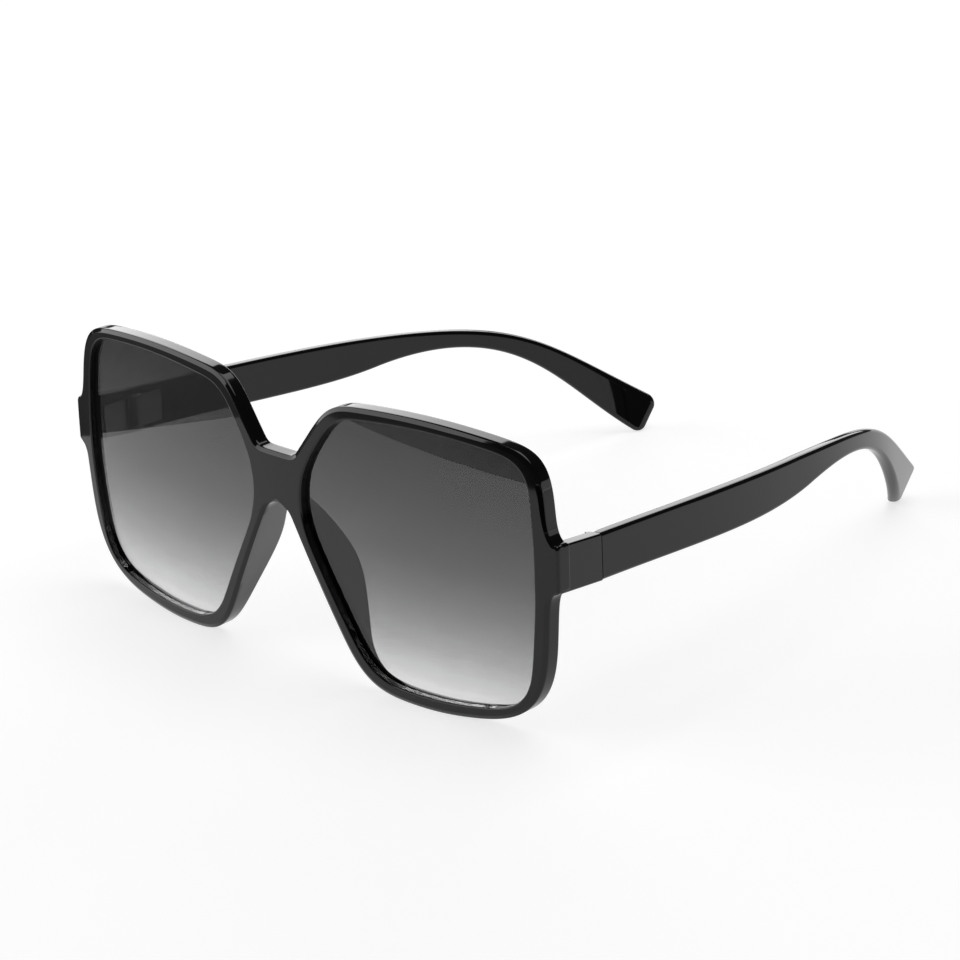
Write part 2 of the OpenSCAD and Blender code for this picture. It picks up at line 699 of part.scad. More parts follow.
placed() front_frame();
placed() lens_front_layer();  // left_lens_front_layer
placed() polarizing_film();  // left_polarizing_film
placed() lens_back_layer();  // left_lens_back_layer
placed() mirror([1, 0, 0]) lens_front_layer();  // right_lens_front_layer
placed() mirror([1, 0, 0]) polarizing_film();  // right_polarizing_film
placed() mirror([1, 0, 0]) lens_back_layer();  // right_lens_back_layer
placed() temple();  // left_temple
placed() mirror([1, 0, 0]) temple();  // right_temple
placed() front_hinge_leaf();  // left_front_hinge_leaf
placed() mirror([1, 0, 0]) front_hinge_leaf();  // right_front_hinge_leaf
placed() temple_hinge_leaf();  // left_temple_hinge_leaf
placed() mirror([1, 0, 0]) temple_hinge_leaf();  // right_temple_hinge_leaf
placed() hinge_screw();  // left_hinge_screw
placed() mirror([1, 0, 0]) hinge_screw();  // right_hinge_screw
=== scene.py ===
"""Glossy black sunglasses with two graduated lenses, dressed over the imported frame.

The front moulding, the temples and the lens layers are lofted again as fine smooth
surfaces from the same sizes as the solids, in millimetres, and scaled to metres when
they become meshes. The hinge leaves and screws are the solids themselves. Left and
right are the wearer's own, and the left side is at +X.
"""

import sys

import logging
import math
from dataclasses import dataclass, field
from enum import Enum

import bpy
import numpy as np
from mathutils import Matrix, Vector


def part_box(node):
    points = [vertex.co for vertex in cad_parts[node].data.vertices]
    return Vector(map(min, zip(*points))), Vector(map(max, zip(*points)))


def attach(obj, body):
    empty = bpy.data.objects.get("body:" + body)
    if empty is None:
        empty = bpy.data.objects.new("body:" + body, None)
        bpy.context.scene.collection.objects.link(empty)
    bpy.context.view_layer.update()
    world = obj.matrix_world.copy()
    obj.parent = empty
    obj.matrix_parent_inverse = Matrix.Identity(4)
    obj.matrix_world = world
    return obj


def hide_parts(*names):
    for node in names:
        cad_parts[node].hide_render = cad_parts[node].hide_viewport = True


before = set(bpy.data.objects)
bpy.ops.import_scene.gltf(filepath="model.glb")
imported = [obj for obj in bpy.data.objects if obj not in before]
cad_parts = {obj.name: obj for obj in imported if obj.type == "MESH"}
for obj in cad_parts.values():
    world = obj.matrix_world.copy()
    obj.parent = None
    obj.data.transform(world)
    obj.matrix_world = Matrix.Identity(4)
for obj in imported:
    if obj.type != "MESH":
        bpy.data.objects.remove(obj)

LOG = logging.getLogger("sunglasses")
MM = 0.001

# Angles in degrees over which an edge stays sharp, and the pull of large faces on shading
RIM_CREASE = 35.0
BEAM_CREASE = 50.0
CUT_CREASE = 40.0
FLAT_WEIGHT = 80

# Corner points in millimetres, and the corner numbers of each face
Shape = tuple[np.ndarray, list[list[int]]]


class Side(Enum):
    """A side of the wearer, with the sign of its X."""

    LEFT = 1
    RIGHT = -1

    @property
    def word(self) -> str:
        """The side's name in lower case."""
        return self.name.lower()


class Slot(Enum):
    """The record's material slots."""

    PLASTIC = "frame_plastic"
    LENS = "lens"
    FILM = "polarizing_film"
    HINGE = "hinge_metal"
    SCREW = "screw_metal"


@dataclass(frozen=True)
class Seat:
    """Where a piece goes: its side, and the depth of the footprint's middle behind the face."""

    side: Side
    mid_y: float

    def move(self, points: np.ndarray) -> np.ndarray:
        """Points of the left side, measured from the face, moved to the side and the frame's origin."""
        return (points - [0.0, self.mid_y, 0.0]) * [self.side.value, 1.0, 1.0]


# Plane curves


def mix(a: np.ndarray | float, b: np.ndarray | float, t: np.ndarray | float) -> np.ndarray:
    """The point a share t of the way from a to b."""
    return a + (b - a) * t


def unit(v: np.ndarray) -> np.ndarray:
    """Vectors scaled to a length of one."""
    return v / np.linalg.norm(v, axis=-1, keepdims=True)


def toward(a: np.ndarray, b: np.ndarray, d: float) -> np.ndarray:
    """The point at a distance d from a on the way to b."""
    return a + unit(b - a) * d


def left_of(v: np.ndarray) -> np.ndarray:
    """Plane vectors turned a quarter turn to the left."""
    return np.stack([-v[..., 1], v[..., 0]], axis=-1)


def ease(a: float, b: float, v: np.ndarray) -> np.ndarray:
    """A smooth step from 0 to 1, t squared times (3 - 2t), as v goes from a to b."""
    t = np.clip((v - a) / (b - a), 0.0, 1.0)
    return t * t * (3 - 2 * t)


def rise(a: float, b: float, v: np.ndarray, power: float) -> np.ndarray:
    """A rise from 0 at a to 1 at b: the sine of a quarter turn's share, to a power."""
    return np.sin(np.pi / 2 * np.clip((v - a) / (b - a), 0.0, 1.0)) ** power


def run(a: np.ndarray, b: np.ndarray, n: int, bow: float = 0.0) -> np.ndarray:
    """Points of a stretch from a to b, bowed out to the left.

    Args:
        a: First point.
        b: Last point, which is left out.
        n: Number of points.
        bow: Bow at the middle, as a parabola 4t(1 - t).

    Returns:
        The points, as an array of n rows.
    """
    t = np.arange(n)[:, None] / n
    return mix(a, b, t) + left_of(unit(b - a)) * bow * 4 * t * (1 - t)


def turn(a: np.ndarray, v: np.ndarray, b: np.ndarray, n: int) -> np.ndarray:
    """Points of the quadratic curve from a to b, without b, that the corner v draws out."""
    t = np.arange(n)[:, None] / n
    return mix(mix(a, v, t), mix(v, b, t), t)


def relaxed(loop: np.ndarray, first: int, last: int, rounds: int) -> np.ndarray:
    """Part of a loop with its small kinks eased out.

    In each round every point moves halfway to the middle of its two neighbours.

    Args:
        loop: The loop's points.
        first: First point that moves.
        last: Point after the last one that moves.
        rounds: Number of rounds.

    Returns:
        The loop, with the same number of points.
    """
    loop = loop.copy()
    for _ in range(rounds):
        loop[first:last] = (2 * loop[first:last] + loop[first - 1:last - 1] + loop[first + 1:last + 1]) / 4
    return loop


def glide(a: np.ndarray, b: np.ndarray, c: np.ndarray, d: np.ndarray, t: np.ndarray) -> np.ndarray:
    """Points of the cubic curve with the guide points a, b, c and d at the shares t."""
    t = t[:, None]
    e, f, g = mix(a, b, t), mix(b, c, t), mix(c, d, t)
    return mix(mix(e, f, t), mix(f, g, t), t)


# Meshes


def grid_quads(rows: int, columns: int, ring_rows: bool, ring_columns: bool) -> np.ndarray:
    """Corner numbers of the quads of a grid of points.

    Args:
        rows: Number of rows of points.
        columns: Number of points in a row.
        ring_rows: Whether the last row joins the first.
        ring_columns: Whether a row's last point joins its first.

    Returns:
        An array of four corner numbers for each quad.
    """
    i, j = np.meshgrid(np.arange(rows if ring_rows else rows - 1),
                       np.arange(columns if ring_columns else columns - 1), indexing="ij")
    i, j = i.ravel(), j.ravel()
    up, over = (i + 1) % rows, (j + 1) % columns
    return np.stack([i * columns + j, i * columns + over, up * columns + over, up * columns + j], -1)


def outward(points: np.ndarray, faces: list[list[int]]) -> list[list[int]]:
    """Faces turned so that the closed shape's volume is positive.

    The volume is a sixth of the sum of the triple products of each fan triangle.

    Args:
        points: Corner points.
        faces: Corner numbers of each face, all with the same sense.

    Returns:
        The faces as they are, or each with its corners in reverse order.
    """
    fans = np.array([(f[0], f[k], f[k + 1]) for f in faces for k in range(1, len(f) - 1)])
    a, b, c = points[fans[:, 0]], points[fans[:, 1]], points[fans[:, 2]]
    volume = np.einsum("ij,ij->", a, np.cross(b, c))
    return faces if volume > 0 else [f[::-1] for f in faces]


def put(name: str, data: bpy.types.ID) -> bpy.types.Object:
    """A new object that holds the data, linked to the scene."""
    thing = bpy.data.objects.new(name, data)
    bpy.context.scene.collection.objects.link(thing)
    return thing


def turn_to(thing: bpy.types.Object, axes: tuple[np.ndarray, ...],
            place: np.ndarray | tuple[float, float, float]) -> None:
    """Sets an object's place and the directions of its own X, Y and Z axes."""
    rows = [[*row, p] for row, p in zip(np.stack(axes, 1), place)]
    thing.matrix_world = Matrix(rows + [[0, 0, 0, 1]])


def solid(name: str, points: np.ndarray, faces: list[list[int]],
          crease: float = RIM_CREASE) -> bpy.types.Object:
    """A smooth-shaded object from points in millimetres.

    Args:
        name: Name of the object.
        points: Corner points in millimetres.
        faces: Corner numbers of each face.
        crease: Angle in degrees over which an edge stays sharp.

    Returns:
        The object, linked to the scene, with its place in its mesh.
    """
    used, places = np.unique(np.concatenate([np.array(f) for f in faces]), return_inverse=True)
    points = points[used]
    starts = np.cumsum([0] + [len(f) for f in faces])
    faces = [places[s:e].tolist() for s, e in zip(starts[:-1], starts[1:])]
    mesh = bpy.data.meshes.new(name)
    mesh.from_pydata((points * MM).tolist(), [], outward(points, faces))
    mesh.update()
    piece = put(name, mesh)
    smooth(piece, crease)
    return piece


def smooth(piece: bpy.types.Object, crease: float) -> None:
    """Shades a piece smoothly, with flats kept flat, and edges over an angle kept sharp.

    Args:
        piece: The object.
        crease: The angle in degrees.
    """
    mesh = piece.data
    mesh.polygons.foreach_set("use_smooth", np.ones(len(mesh.polygons), bool))
    mesh.set_sharp_from_angle(angle=math.radians(crease))
    weighted = piece.modifiers.new("flat_faces", "WEIGHTED_NORMAL")
    weighted.keep_sharp = True
    weighted.weight = FLAT_WEIGHT


def block(low: tuple[float, float, float], high: tuple[float, float, float]) -> Shape:
    """Corner points and faces of a box between two corners."""
    shares = np.array([(x, y, z) for z in (0, 1) for y in (0, 1) for x in (0, 1)])
    points = mix(np.array(low), np.array(high), shares)
    return points, [[0, 2, 3, 1], [4, 5, 7, 6], [0, 1, 5, 4], [2, 6, 7, 3], [0, 4, 6, 2], [1, 3, 7, 5]]


def drum(radius: float, low: float, high: float, n: int = 64) -> Shape:
    """Corner points and faces of an upright cylinder round the origin."""
    a = np.linspace(0, 2 * np.pi, n, endpoint=False)
    ring = np.stack([radius * np.cos(a), radius * np.sin(a)], -1)
    points = np.concatenate([np.c_[ring, np.full(n, low)], np.c_[ring, np.full(n, high)]])
    faces = grid_quads(2, n, False, True).tolist()
    return points, faces + [list(range(n - 1, -1, -1)), list(range(n, 2 * n))]


def carve(piece: bpy.types.Object, rooms: list[Shape]) -> None:
    """Cuts rooms out of a piece and keeps the result as its mesh.

    Args:
        piece: The object that is cut.
        rooms: The rooms' shapes.
    """
    piece.modifiers.clear()
    cutters = [solid(f"{piece.name}_room_{k}", *room) for k, room in enumerate(rooms)]
    for cutter in cutters:
        cut = piece.modifiers.new("room", "BOOLEAN")
        cut.operation, cut.solver, cut.object = "DIFFERENCE", "EXACT", cutter
    graph = bpy.context.evaluated_depsgraph_get()
    mesh = bpy.data.meshes.new_from_object(piece.evaluated_get(graph))
    piece.modifiers.clear()
    piece.data = mesh
    mesh.name = piece.name
    for cutter in cutters:
        bpy.data.objects.remove(cutter)
    smooth(piece, CUT_CREASE)


# Finishes


def fill_ramp(ramp: bpy.types.ColorRamp, stops: tuple[tuple[float, float], ...], blue: float = 1.0) -> None:
    """Gives a colour ramp its grey stops.

    Args:
        ramp: The ramp.
        stops: Place and tone of each stop.
        blue: Factor on the blue of the tones.
    """
    while len(ramp.elements) < len(stops):
        ramp.elements.new(0.5)
    for element, (place, tone) in zip(ramp.elements, stops):
        element.position = place
        element.color = (tone, tone, tone * blue, 1.0)


class NodeSheet:
    """A material's nodes, with short ways to add and join them."""

    def __init__(self, name: str) -> None:
        """Starts an empty material with a Principled shader and an output."""
        self.material = bpy.data.materials.new(name)
        self.material.use_nodes = True
        self.tree = self.material.node_tree
        self.tree.nodes.clear()
        self.shader = self.tree.nodes.new("ShaderNodeBsdfPrincipled")
        out = self.tree.nodes.new("ShaderNodeOutputMaterial")
        self.tree.links.new(self.shader.outputs["BSDF"], out.inputs["Surface"])
        self.place = self.tree.nodes.new("ShaderNodeTexCoord").outputs["Object"]

    def add(self, kind: str, **values: object) -> bpy.types.Node:
        """A new node with its attributes, and its inputs given with in_ before their names."""
        node = self.tree.nodes.new(kind)
        for key, value in values.items():
            if key.startswith("in_"):
                node.inputs[key[3:].replace("_", " ")].default_value = value
            else:
                setattr(node, key, value)
        return node

    def join(self, source: bpy.types.NodeSocket, target: bpy.types.NodeSocket) -> None:
        """Links an output to an input."""
        self.tree.links.new(source, target)

    def spots(self, scale: float, detail: float,
              stretch: tuple[float, float, float] = (1, 1, 1)) -> bpy.types.NodeSocket:
        """Noise on the piece's own coordinates.

        Args:
            scale: Noise scale, in spots for each metre.
            detail: Noise detail.
            stretch: Factors on the coordinates.

        Returns:
            The noise's output, around 0.5.
        """
        mapping = self.add("ShaderNodeMapping")
        mapping.inputs["Scale"].default_value = stretch
        self.join(self.place, mapping.inputs["Vector"])
        noise = self.add("ShaderNodeTexNoise", in_Scale=scale, in_Detail=detail)
        self.join(mapping.outputs["Vector"], noise.inputs["Vector"])
        return noise.outputs["Fac"]

    def ranged(self, source: bpy.types.NodeSocket, low: float, high: float,
               from_low: float = 0.3, from_high: float = 0.7) -> bpy.types.NodeSocket:
        """A value brought from one range, by default a noise's, to another without running over."""
        node = self.add("ShaderNodeMapRange", clamp=True)
        limits = {"From Min": from_low, "From Max": from_high, "To Min": low, "To Max": high}
        for key, value in limits.items():
            node.inputs[key].default_value = value
        self.join(source, node.inputs["Value"])
        return node.outputs["Result"]

    def colour(self, first: tuple[float, ...], second: tuple[float, ...],
               share: bpy.types.NodeSocket) -> None:
        """Mixes the base colour from two colours."""
        tone = self.add("ShaderNodeMix", data_type="RGBA")
        tone.inputs["A"].default_value = first
        tone.inputs["B"].default_value = second
        self.join(share, tone.inputs["Factor"])
        self.join(tone.outputs["Result"], self.shader.inputs["Base Color"])

    def bump(self, heights: list[tuple[bpy.types.NodeSocket, float, float]]) -> None:
        """Bumps on the surface, one after another.

        Args:
            heights: Height output, distance in metres and strength of each bump.
        """
        last = None
        for source, distance, strength in heights:
            node = self.add("ShaderNodeBump")
            node.inputs["Strength"].default_value = strength
            node.inputs["Distance"].default_value = distance
            self.join(source, node.inputs["Height"])
            if last is not None:
                self.join(last, node.inputs["Normal"])
            last = node.outputs["Normal"]
        self.join(last, self.shader.inputs["Normal"])

    def set(self, **values: object) -> None:
        """Sets the shader's own inputs by name."""
        for key, value in values.items():
            self.shader.inputs[key.replace("_", " ")].default_value = value


@dataclass(frozen=True)
class GlossPlastic:
    """Black moulded plastic, tumbled to a gloss, with faint polishing haze and ripple.

    Spots are a noise's scale and detail. Ripple and grain are those of a bump, with its
    distance in metres and its strength.
    """

    name: str = "black_gloss_plastic"
    deep: tuple[float, float, float, float] = (0.002, 0.002, 0.0021, 1.0)
    worn: tuple[float, float, float, float] = (0.0042, 0.0041, 0.004, 1.0)
    rough_low: float = 0.03
    rough_high: float = 0.07
    ior: float = 1.4
    tone_spots: tuple[float, float] = (60.0, 4.0)
    haze_spots: tuple[float, float] = (220.0, 5.0)
    ripple: tuple[float, float, float, float] = (45.0, 1.0, 0.00004, 0.35)
    grain: tuple[float, float, float, float] = (1500.0, 2.0, 0.000004, 0.25)

    def build(self) -> bpy.types.Material:
        """The material, with colour and roughness that vary softly, and a slight ripple."""
        sheet = NodeSheet(self.name)
        sheet.colour(self.deep, self.worn, sheet.ranged(sheet.spots(*self.tone_spots), 0.0, 1.0))
        haze = sheet.ranged(sheet.spots(*self.haze_spots), self.rough_low, self.rough_high)
        sheet.join(haze, sheet.shader.inputs["Roughness"])
        sheet.bump([(sheet.spots(*bumps[:2]), *bumps[2:]) for bumps in (self.ripple, self.grain)])
        sheet.set(IOR=self.ior)
        return sheet.material


@dataclass(frozen=True)
class TintedLayer:
    """A clear lens layer with a smoke tint that fades towards its lower edge.

    Low and high are the heights of the tint's two ends in millimetres. Each tint is a share
    of the way up and the light that passes there.
    """

    name: str
    ior: float
    low: float
    high: float
    tints: tuple[tuple[float, float], ...]
    blue: float = 1.004
    cloud_spots: tuple[float, float] = (90.0, 2.0)
    cloud_share: float = 0.006

    def build(self) -> bpy.types.Material:
        """The material: light that passes is tinted by the height on the lens."""
        sheet = NodeSheet(self.name)
        split = sheet.add("ShaderNodeSeparateXYZ")
        sheet.join(sheet.place, split.inputs["Vector"])
        share = sheet.ranged(split.outputs["Z"], 0.0, 1.0, self.low * MM, self.high * MM)
        cloud = sheet.ranged(sheet.spots(*self.cloud_spots), -self.cloud_share, self.cloud_share)
        total = sheet.add("ShaderNodeMath", operation="ADD")
        sheet.join(share, total.inputs[0])
        sheet.join(cloud, total.inputs[1])
        smoke = sheet.add("ShaderNodeValToRGB")
        smoke.color_ramp.interpolation = "B_SPLINE"
        fill_ramp(smoke.color_ramp, self.tints, self.blue)
        sheet.join(total.outputs["Value"], smoke.inputs["Fac"])
        sheet.join(smoke.outputs["Color"], sheet.shader.inputs["Base Color"])
        sheet.set(IOR=self.ior, Transmission_Weight=1.0, Roughness=0.0)
        return sheet.material


@dataclass(frozen=True)
class BrushedSteel:
    """Stamped steel with fine drawn lines."""

    name: str = "brushed_steel"
    colour: tuple[float, float, float, float] = (0.34, 0.34, 0.33, 1.0)
    dull: tuple[float, float, float, float] = (0.25, 0.25, 0.26, 1.0)
    rough_low: float = 0.22
    rough_high: float = 0.38
    lines: tuple[float, float, float] = (1.0, 1.0, 22.0)
    grain_spots: tuple[float, float] = (900.0, 3.0)
    grain_bump: tuple[float, float] = (0.00001, 0.4)

    def build(self) -> bpy.types.Material:
        """The material, with drawn lines in its colour, roughness and surface."""
        sheet = NodeSheet(self.name)
        grain = sheet.spots(*self.grain_spots, self.lines)
        sheet.colour(self.colour, self.dull, sheet.ranged(grain, 0.0, 1.0))
        sheet.join(sheet.ranged(grain, self.rough_low, self.rough_high), sheet.shader.inputs["Roughness"])
        sheet.bump([(grain, *self.grain_bump)])
        sheet.set(Metallic=1.0)
        return sheet.material


# The front


@dataclass
class FrontMoulding:
    """The one-piece front: two rims, the bridge, the nose pads and the endpieces.

    Sizes are in millimetres. Places [x, z] are taken from the middle of the front.
    """

    eye_top_in: tuple[float, float] = (17.2, 27.1)
    eye_top_out: tuple[float, float] = (65.1, 27.0)
    eye_low_out: tuple[float, float] = (64.1, -26.3)
    eye_low_in: tuple[float, float] = (24.1, -28.6)
    eye_bridge: tuple[float, float] = (3.7, 8.1)
    eye_cuts: tuple[float, ...] = (5.8, 9.2, 11.8, 8.0, 12.5)
    eye_bows: tuple[float, float, float] = (1.05, 1.1, 0.7)
    face_r: float = 360.0
    rim_d: float = 3.5
    rim_top_in_w: tuple[float, float] = (1.7, 2.6)
    rim_top_out_w: tuple[float, float] = (2.7, 1.8)
    rim_low_out_w: tuple[float, float] = (4.0, 3.0)
    rim_low_in_w: tuple[float, float] = (2.2, 2.6)
    rim_cuts: tuple[float, ...] = (6.2, 10.0, 18.5, 8.6)
    bevel_w: float = 0.95
    bevel_d: float = 0.4
    edge_r: float = 0.4
    bridge_top: float = 15.9
    brow_corner: tuple[float, float] = (5.3, 15.9)
    brow_cut: float = 1.4
    arch_top: float = 5.15
    arch_half_w: float = 2.6
    arch_cut: float = 3.0
    pad_h: float = 8.0
    pad_lean: float = 1.5
    pad_r: float = 0.9
    pad_span: tuple[float, float, float, float] = (6.4, -14.6, -5.2, -33.2)
    pad_powers: tuple[float, float] = (0.5, 2.3)
    front_w: float = 142.4
    end_top: float = 10.7
    end_h: float = 9.9
    flare_h: float = 7.3
    flare_low_h: float = 2.8
    flare_step: float = 0.35
    flare_low_step: float = 0.7
    end_r: float = 1.0
    end_bevel_share: float = 0.5
    lens_in: float = 1.5
    lens_t: float = 1.1
    lens_lap: float = 0.9
    lens_gap: float = 0.08
    lens_side_gap: float = 0.02
    detail: int = 4
    ease_rounds: int = 60
    middle_rounds: int = 14
    round_n: int = 6
    counts: tuple[int, ...] = (2, 3, 5, 8, 10, 9, 10, 8, 7, 17, 4, 9)
    flare_counts: tuple[int, ...] = (2, 6, 3, 3, 3, 4, 4)
    bevel_shares: tuple[tuple[float, float], ...] = (
        (1.0, 0.0), (0.95, 0.006), (0.9, 0.024), (0.84, 0.06), (0.77, 0.125), (0.62, 0.29), (0.38, 0.55),
        (0.22, 0.72), (0.13, 0.83), (0.07, 0.92), (0.03, 1.02), (0.0, 1.25))
    face_shares: tuple[float, ...] = (0.06, 0.5, 0.94)
    side_shares: tuple[float, ...] = (0.15, 0.5, 0.85)
    back_share: float = 0.92

    def __post_init__(self) -> None:
        """Works out the loops and the height over the table."""
        self.rim, self.eye = self._loops()
        self._ease_kinks()
        self.eye_h = -float(self.rim[:, 1].min())

    def _loops(self) -> tuple[np.ndarray, np.ndarray]:
        """The outline of the left half and the lens opening, clockwise from the bridge's top.

        Corners are quadratic curves and the stretches between them straight or bowed,
        and both loops have the same number of points.

        Returns:
            The rim's outline and the opening's, as arrays [x, z].
        """
        pt = np.array
        ti, to, lo, li, br = map(pt, (
            self.eye_top_in, self.eye_top_out, self.eye_low_out, self.eye_low_in, self.eye_bridge))
        c_ti, c_to, c_lo, c_li, c_br = self.eye_cuts
        top_bow, side_bow, low_bow = self.eye_bows
        rti = ti + pt([-self.rim_top_in_w[0], self.rim_top_in_w[1]])
        rto = to + pt(self.rim_top_out_w)
        rlo = lo + pt([self.rim_low_out_w[0], -self.rim_low_out_w[1]])
        rli = li - pt(self.rim_low_in_w)
        arch = pt([self.arch_half_w, self.arch_top])
        brow = pt(self.brow_corner)
        n_bridge, n_brow, n_rise, n_ti, n_top, n_to, n_lo, n_low, n_li, n_nose, n_arch, n_seam = (
            self.detail * c for c in self.counts)
        n_flare = [self.detail * c for c in self.flare_counts]
        end_x, end_top, end_low = self.front_w / 2, self.end_top, self.end_top - self.end_h

        side_up, side_down = toward(to, lo, c_to), toward(lo, to, c_lo)
        rim_up, rim_down = toward(rto, rlo, self.rim_cuts[1]), toward(rlo, rto, self.rim_cuts[2])
        f_top = pt([rim_up[0] + self.flare_step, end_top + self.flare_h])
        f_low = pt([rim_down[0] + self.flare_low_step, end_low - self.flare_low_h])
        r = self.end_r
        a, b = pt([end_x - r, end_top]), pt([end_x, end_top - r])
        c, d = pt([end_x, end_low + r]), pt([end_x - r, end_low])
        self.side = np.concatenate([
            run(rim_up, f_top, n_flare[0]), turn(f_top, pt([f_top[0], end_top]), a, n_flare[1]),
            turn(a, pt([end_x, end_top]), b, n_flare[2]), run(b, c, n_flare[3]),
            turn(c, pt([end_x, end_low]), d, n_flare[4]),
            turn(d, pt([f_low[0], end_low]), f_low, n_flare[5]), run(f_low, rim_down, n_flare[6])])

        middle = pt([0.0, self.bridge_top])
        brow_in, brow_out = toward(brow, middle, self.brow_cut), toward(brow, rti, self.brow_cut)
        rise_end, top_start = toward(rti, brow, self.rim_cuts[0]), toward(rti, rto, self.rim_cuts[0])
        top_end = toward(rto, rti, self.rim_cuts[1])
        low_start, low_end = toward(rlo, rli, self.rim_cuts[2]), toward(rli, rlo, self.rim_cuts[3])
        nose_start, nose_end = toward(rli, arch, self.rim_cuts[3]), toward(arch, rli, self.arch_cut)
        seam = np.arange(1, n_seam)[:, None] / n_seam
        rim = np.concatenate([
            run(middle, brow_in, n_bridge), turn(brow_in, brow, brow_out, n_brow),
            run(brow_out, rise_end, n_rise), turn(rise_end, rti, top_start, n_ti),
            run(top_start, top_end, n_top, top_bow), turn(top_end, rto, rim_up, n_to),
            self.side, turn(rim_down, rlo, low_start, n_lo),
            run(low_start, low_end, n_low, low_bow), turn(low_end, rli, nose_start, n_li),
            run(nose_start, nose_end, n_nose), turn(nose_end, arch, pt([0.0, self.arch_top]), n_arch),
            [[0.0, self.arch_top]],
            mix(pt([0.0, self.arch_top + self.bevel_w]), pt([0.0, self.bridge_top - self.bevel_w]), seam)])

        brow_up, brow_down = toward(ti, br, c_ti), toward(br, ti, c_br)
        nose_up, nose_down = toward(br, li, c_br), toward(li, br, c_li)
        t = ((rim_up[1] - self.side[:, 1]) / (rim_up[1] - rim_down[1]))[:, None]
        bow = left_of(unit(side_down - side_up)) * side_bow
        eye_side = mix(side_up, side_down, t) + bow * 4 * t * (1 - t)
        top_a, top_b = toward(ti, to, c_ti), toward(to, ti, c_to)
        low_a, low_b = toward(lo, li, c_lo), toward(li, lo, c_li)
        waist = turn(nose_up, br, brow_down, n_arch + n_seam + n_bridge + n_brow)
        eye = np.concatenate([
            waist[n_arch + n_seam:], run(brow_down, brow_up, n_rise), turn(brow_up, ti, top_a, n_ti),
            run(top_a, top_b, n_top, top_bow), turn(top_b, to, side_up, n_to), eye_side,
            turn(side_down, lo, low_a, n_lo), run(low_a, low_b, n_low, low_bow),
            turn(low_b, li, nose_down, n_li), run(nose_down, nose_up, n_nose), waist[:n_arch + n_seam]])
        self.seam_at = len(eye) - n_seam
        self.side_at = n_bridge + n_brow + n_rise + n_ti + n_top + n_to
        self.pads_at = self.seam_at - n_nose - n_arch - n_li
        return rim, eye

    def _ease_kinks(self) -> None:
        """Eases the joints of the loops' stretches, lightly by the middle and not at the endpiece.

        The stretches that end on the middle plane are eased together with their mirror
        image, so that they cross it level.
        """
        brow = self.detail * sum(self.counts[:2])
        flare = self.side_at + self.detail * sum(self.flare_counts[:2])
        back = self.side_at + self.detail * sum(self.flare_counts[:5])
        arch = self.seam_at - self.detail * self.counts[10] - back
        flip = np.array([-1.0, 1.0])

        top = self.rim[:flare]
        both = relaxed(np.concatenate([(top * flip)[:0:-1], top]), 1, 2 * flare - 2, self.middle_rounds)
        self.rim[:flare] = relaxed(both[flare - 1:], brow, flare - 1, self.ease_rounds)

        foot = self.rim[back:self.seam_at + 1]
        n = len(foot)
        both = relaxed(np.concatenate([foot, (foot * flip)[-2::-1]]), 1, 2 * n - 2, self.middle_rounds)
        self.rim[back:self.seam_at + 1] = relaxed(both[:n], 1, arch, self.ease_rounds)

        self.eye = relaxed(self.eye, 1, len(self.eye) - 1, self.ease_rounds)

    def eye_out(self) -> np.ndarray:
        """Directions in the face's plane that lead away from the opening."""
        return left_of(unit(np.roll(self.eye, -1, 0) - np.roll(self.eye, 1, 0)))

    def rim_in(self) -> np.ndarray:
        """Directions in the face's plane that lead in from the outline."""
        inward = -left_of(unit(np.roll(self.rim, -1, 0) - np.roll(self.rim, 1, 0)))
        inward[0] = (0, -1)
        inward[self.seam_at:] = (0, 1)
        return inward

    def face_y(self, p: np.ndarray) -> np.ndarray:
        """How far back the ball-shaped face lies: r less the root of (r^2 - x^2 - z^2)."""
        return self.face_r - np.sqrt(self.face_r ** 2 - p[..., 0] ** 2 - p[..., 1] ** 2)

    def behind(self, p: np.ndarray, depth: np.ndarray | float) -> np.ndarray:
        """Points in space at the places p, a depth behind the face."""
        return np.stack([p[..., 0], self.face_y(p) + depth, p[..., 1] + self.eye_h], -1)

    def _pad_share(self) -> np.ndarray:
        """Share of the full nose pad at each station: a quick rise and a soft run-out."""
        top, full_top, full_low, low = self.pad_span
        z = self.rim[:, 1]
        share = rise(top, full_top, z, self.pad_powers[0]) * rise(low, full_low, z, self.pad_powers[1])
        share[:self.pads_at] = 0
        share[self.seam_at + 1:] = 0
        return share

    def _bevel_share(self) -> np.ndarray:
        """Share of the full bevel, which narrows at the endpiece."""
        z = self.rim[:, 1]
        end_low = self.end_top - self.end_h
        near = ease(self.end_top + self.flare_h, self.end_top, z)
        near *= ease(end_low - self.flare_low_h, end_low, z)
        near[:self.side_at] = 0
        near[self.side_at + len(self.side):] = 0
        return mix(1.0, self.end_bevel_share, near)

